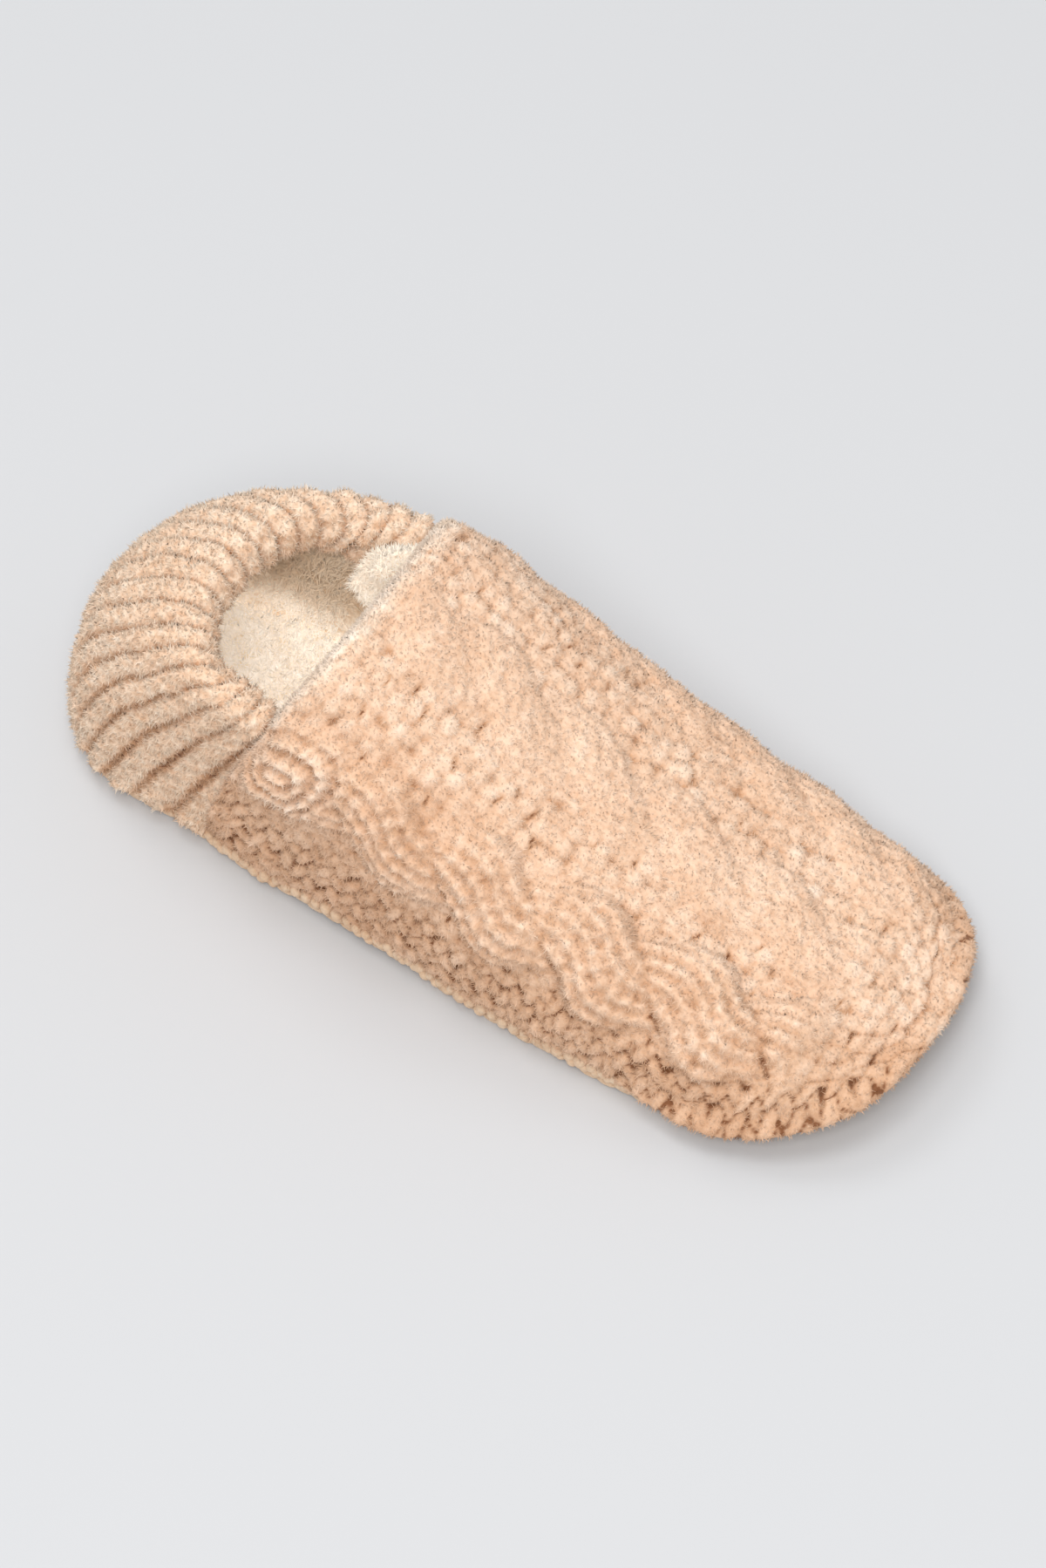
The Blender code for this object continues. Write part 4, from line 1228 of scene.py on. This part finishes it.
# %% Footbed
footbed, place, outward = soft_copy("footbed", "insole", 0.0014)
level = np.abs(outward[:, 2])
puff = 0.0007 * waves(place, 7, 0.014) + 0.0011 * (1.0 - level) + 0.0060 * level * (1.0 - level)
place = place + outward * puff[:, None]
seen = smooth((outward[:, 2] + 0.3) / 0.3) * (1.0 - smooth((place[:, 0] - 0.005) / 0.02))
# The footbed gets a painted glow by height.
finish_copy(footbed, place, footbed_pile, {"height": 0.6, "pile": seen, "painted_glow": painted_glow_at(place[:, 2])})
raise_pile("footbed_fleece", footbed, fleece_fibre, 1.2e6, 0.0034, 0.0007, 1.1, 63)

# %% [markdown]
# ## The tuft in the corner
#
# Where the throat meets the rim on the far side, the lining is turned over the edge and stands up as a pale
# woolly tuft. It is a small rounded cushion with an uneven skin, grown over with longer fleece.

# %% Throat tuft
TUFT_PLACE = (-0.0495, 0.0268, 0.0578)
TUFT_SIZE = (0.0100, 0.0055, 0.0090)
TUFT_TURN = math.radians(52.0)


def throat_tuft_object():
    """A ball with an uneven skin, drawn out and turned."""
    bm = bmesh.new()
    bmesh.ops.create_icosphere(bm, subdivisions=5, radius=1.0)
    mesh = bpy.data.meshes.new("throat_tuft")
    bm.to_mesh(mesh)
    bm.free()
    knob = np.array([v.co[:] for v in mesh.vertices])
    knob = knob * (1.0 + 0.30 * waves(knob, 81, 1.1, 3))[:, None] * TUFT_SIZE
    cosine, sine = math.cos(TUFT_TURN), math.sin(TUFT_TURN)
    x, y, z = knob.T
    knob = np.column_stack([x * cosine - y * sine, x * sine + y * cosine, z]) + TUFT_PLACE
    piece = add_object("throat_tuft", mesh)
    # The tuft gets an even painted glow.
    finish_copy(piece, knob, lining_pile, {"height": 0.7, "pile": 1.0, "painted_glow": 0.28})
    return piece


throat_tuft = throat_tuft_object()
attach(throat_tuft, "root")
raise_pile("tuft_fleece", throat_tuft, fleece_fibre, 6.0e6, 0.0022, 0.0005, 1.1, 64)

# %% [markdown]
# ## The rim where sole and upper meet
#
# The sole's edge is finished with a chained cord that lies on the floor and waves a little, and above it
# short upright bars climb to the upper. Each stitch is a bead of yarn. The second tree reads a cloud of
# points that know their two shares on a guide band round the foot, samples the band there and stands the
# beads on it. A band follows the smooth outline, where ray casts would follow every facet of the solid.

# %% One bead of yarn
def yarn_bead(name, detail):
    """A plump bead of unit half sizes that carries its height from foot to crown, with painted shade at its
    foot and a painted highlight at its crown.
    """
    bm = bmesh.new()
    bmesh.ops.create_icosphere(bm, subdivisions=detail, radius=1.0)
    for vertex in bm.verts:
        vertex.co.y *= 1.0 - 0.16 * vertex.co.x
        vertex.co.x = math.copysign(abs(vertex.co.x) ** 0.9, vertex.co.x)
    mesh = bpy.data.meshes.new(name)
    bm.to_mesh(mesh)
    bm.free()
    shade_smooth(mesh)
    # Painted shade towards the bead's foot, painted highlight towards its crown.
    set_values(mesh, {"height": [0.42 + 0.22 * v.co.z for v in mesh.vertices]})
    return add_object(name, mesh)


bead = yarn_bead("yarn_bead", 2)
print("one bead has", len(bead.data.polygons), "faces")


# %% The stitch-laying tree
STITCH_SOCKETS = (("Points", "Geometry"), ("Guide", "Object"), ("Bead", "Object"), ("Yarn", "Material"))


def sampled(tree, guide, what):
    """A vector of the guide at each point's spot."""
    inputs = {"Mesh": guide, "Value": what, "UV Map": stored(tree, "FLOAT_VECTOR", "shares")}
    inputs["Sample UV"] = stored(tree, "FLOAT_VECTOR", "spot")
    return add_node(tree, "GeometryNodeSampleUVSurface", inputs, data_type="FLOAT_VECTOR").outputs["Value"]


def stitch_tree():
    """Stand a bead of yarn on a guide surface at each point."""
    tree, given = new_tree("lay_stitches", STITCH_SOCKETS + (("Plumpness", "Float"),), "Stitches")
    guide = add_node(tree, "GeometryNodeObjectInfo", {"Object": given["Guide"]}).outputs["Geometry"]
    place = sampled(tree, guide, add_node(tree, "GeometryNodeInputPosition").outputs["Position"])
    outward, lie = (sampled(tree, guide, stored(tree, "FLOAT_VECTOR", name)) for name in ("outward", "lie"))
    seat = vector_math(tree, "MULTIPLY_ADD", outward, stored(tree, "FLOAT", "lift"), place)
    inputs = {"Geometry": given["Points"], "Position": seat}
    points = add_node(tree, "GeometryNodeSetPosition", inputs).outputs[0]
    axes = {"Primary Axis": outward, "Secondary Axis": lie}
    kind = "FunctionNodeAxesToRotation"
    stand = add_node(tree, kind, axes, primary_axis="Z", secondary_axis="X").outputs[0]
    twist = {"Axis": (0.0, 0.0, 1.0), "Angle": stored(tree, "FLOAT", "turn")}
    rotation = turned_by(tree, stand, add_node(tree, "FunctionNodeAxisAngleToRotation", twist).outputs[0])
    size = vector_math(tree, "MULTIPLY", stored(tree, "FLOAT_VECTOR", "size"), given["Plumpness"])
    stand_on(tree, points, given["Bead"], rotation, size, given["Yarn"], "Stitches")
    return tree


STITCHES = stitch_tree()
print("tree:", STITCHES.name, "with", len(STITCHES.nodes), "nodes")


# %% The guide band
RIM_STEPS, RIM_LEVELS = 360, 8
RIM_INSET, RIM_TOE_INSET = 0.0070, 0.0022


def rim_guide_object():
    """A closed band round the foot of the upper, from the floor up to the sole's edge, and its length run."""
    turn = np.linspace(-math.pi, math.pi, RIM_STEPS + 1)
    x = HEEL_TIP + (LENGTH - HEEL_TIP) * 0.5 * (1.0 - np.cos(np.abs(turn)))
    stand = smooth((x / LENGTH - 0.20) / 0.12) * round_end(LENGTH - x, 0.20 * LENGTH, 2.0)
    half = half_width(x) + (section("proud", x / LENGTH) - SOLE_INSET) * stand
    half[np.abs(turn) < 1e-6] = 0.0
    half[[0, -1]] = 0.0
    line = np.column_stack([x, np.sign(turn) * half])
    tangent = np.roll(line[:-1], -1, axis=0) - np.roll(line[:-1], 1, axis=0)
    tangent = unit(np.concatenate([tangent, tangent[:1]]))
    side = np.column_stack([tangent[:, 1], -tangent[:, 0]])
    if np.dot(side[RIM_STEPS // 4], line[RIM_STEPS // 4] - (0.5 * LENGTH, 0.0)) < 0.0:
        side = -side
    angle = (math.pi / 2 * np.arange(RIM_LEVELS) / (RIM_LEVELS - 1))[:, None]
    inset = RIM_INSET * (1.0 - np.sin(angle)) + RIM_TOE_INSET * smooth((x / LENGTH - 0.82) / 0.12)
    bottom = sole_bottom(x)
    place = line - side * inset[:, :, None]
    z = bottom + (sole_edge(x) - bottom) * (1.0 - np.cos(angle))
    grid = np.dstack([place[:, :, 0] - LENGTH / 2, place[:, :, 1], z])
    outward = np.dstack([side * np.sin(angle)[:, :, None], -np.cos(angle) + 0.0 * x])
    lie = np.tile(np.column_stack([tangent, 0.0 * x]), (RIM_LEVELS, 1, 1))
    index = np.arange(RIM_LEVELS * len(x)).reshape(RIM_LEVELS, -1)
    mesh = bpy.data.meshes.new("rim_guide")
    mesh.from_pydata(grid.reshape(-1, 3).tolist(), [], quads(index[::-1]))
    corner = np.empty(len(mesh.loops), np.int32)
    mesh.loops.foreach_get("vertex_index", corner)
    shares = np.column_stack([(corner // len(x)) / (RIM_LEVELS - 1), (corner % len(x)) / RIM_STEPS])
    mesh.uv_layers.new(name="shares").data.foreach_set("uv", shares.astype(np.float32).ravel())
    set_values(mesh, {"outward": outward, "lie": lie}, "FLOAT_VECTOR")
    return add_object("rim_guide", mesh), run_along(line)


rim_guide, rim_run = rim_guide_object()
print("rim guide is", round(float(rim_run[-1]), 4), "m round")

# %% Sole rim
RIM_ROWS = (
    (0.50, 0.0052, 0.0, (0.0036, 0.0017, 0.0014), 0.0000, 0.5),
    (0.78, 0.0036, 1.45, (0.0020, 0.0017, 0.0015), -0.0004, 0.35),
    (0.96, 0.0034, 1.45, (0.0021, 0.0018, 0.0015), -0.0004, 0.45),
)


def rim_points():
    """A cloud of points for a chained cord at the floor and upright bars above it."""
    random = np.random.default_rng(41)
    found = {"spot": [], "turn": [], "size": [], "lift": [], "shade": []}
    for level, pitch, turn, size, lift, tone in RIM_ROWS:
        distance = np.arange(pitch / 2, rim_run[-1] - pitch / 2, pitch)
        n = len(distance)
        around = np.clip(np.interp(distance, rim_run, np.linspace(0.0, 1.0, len(rim_run))), 0.001, 0.999)
        wavy = (turn == 0.0) * (0.05 * np.sin(distance / 0.030) + 0.03 * np.sin(distance / 0.013))
        found["spot"].append(np.column_stack([np.clip(level + wavy, 0.02, 0.98), around, 0.0 * around]))
        found["turn"].append(turn + random.normal(0.0, 0.12, n))
        found["size"].append(np.array(size) * random.normal(1.0, 0.07, (n, 1)))
        found["lift"].append(np.full(n, lift) + random.normal(0.0, 0.0002, n))
        found["shade"].append(np.clip(random.normal(tone, 0.15, n), 0.0, 1.0))
    found = {key: np.concatenate(value) for key, value in found.items()}
    mesh = bpy.data.meshes.new("rim_points")
    mesh.from_pydata(np.zeros((len(found["turn"]), 3)).tolist(), [], [])
    set_values(mesh, {key: found[key] for key in ("spot", "size")}, "FLOAT_VECTOR")
    set_values(mesh, {key: found[key] for key in ("turn", "lift", "shade")})
    return mesh


rim_inputs = {"Guide": rim_guide, "Bead": bead, "Yarn": sole_yarn, "Plumpness": 1.0}
rim = grown("rim_stitches", rim_points(), STITCHES, rim_inputs)
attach(rim, "root")

# %% [markdown]
# ## Light, floor and camera
#
# The shoe stands on a pale seamless floor under large soft lights, so its shadow is only a faint pool. The
# camera looks down over the near side at a steep angle with a long lens, which keeps the sides parallel.

# %% Guides leave the scene
for helper in (rim_guide, bead, spike):
    bpy.data.objects.remove(helper, do_unlink=True)
pieces = [o for o in bpy.data.objects if o.type == "MESH"]
triangles = [sum(len(p.vertices) - 2 for p in o.data.polygons) for o in pieces]
print("triangles:", sum(triangles), "most in one piece:", max(triangles))
print("pieces left:", sorted(o.name for o in pieces))

# %% Floor
FLOOR_REACH = 6.0
floor_mesh = bpy.data.meshes.new("floor")
corners = [(x * FLOOR_REACH, y * FLOOR_REACH, 0.0) for x, y in ((-1, -1), (1, -1), (1, 1), (-1, 1))]
floor_mesh.from_pydata(corners, [], [(0, 1, 2, 3)])
floor = add_object("floor", floor_mesh)
floor_paint, floor_tree, floor_shader = new_material("floor_paint")
floor_look = {"Base Color": (0.604, 0.611, 0.625, 1.0), "Roughness": 0.9, "Specular IOR Level": 0.1}
feed(floor_tree, floor_shader, floor_look)
floor_mesh.materials.append(floor_paint)

# %% Light
world = bpy.data.worlds.new("studio")
world.use_nodes = True
feed(world.node_tree, world.node_tree.nodes["Background"], {"Color": (1.0, 1.0, 1.0, 1.0), "Strength": 0.50})
bpy.context.scene.world = world
bpy.context.scene.view_settings.view_transform = "Standard"


def aimed(name, data, place, aim):
    """Put a light or a camera at a place and point it at another."""
    thing = bpy.data.objects.new(name, data)
    thing.location = place
    thing.rotation_euler = (Vector(aim) - Vector(place)).to_track_quat("-Z", "Y").to_euler()
    bpy.context.collection.objects.link(thing)
    return thing


for name, place, aim, size, power in (
    ("key", (-1.5, 0.6, 2.6), (0.0, 0.0, 0.03), 1.4, 14.0),
    ("top", (0.0, -0.3, 2.7), (-0.03, 0.0, 0.03), 1.3, 20.0),
    ("front", (0.95, -1.85, 2.8), (-0.03, 0.0, 0.03), 1.5, 62.0),
):
    light = bpy.data.lights.new(name, "AREA")
    light.shape = "DISK"
    light.size = size
    light.energy = power
    aimed(name, light, place, aim)

# %% Camera
lens = bpy.data.cameras.new("camera")
lens.sensor_width = 36.0
lens.lens = 144.0
lens.clip_end = 20.0
camera = aimed("camera", lens, (0.545, -0.847, 1.321), (0.004, 0.004, 0.030))
bpy.context.scene.camera = camera
print("camera at", tuple(round(v, 3) for v in camera.location))
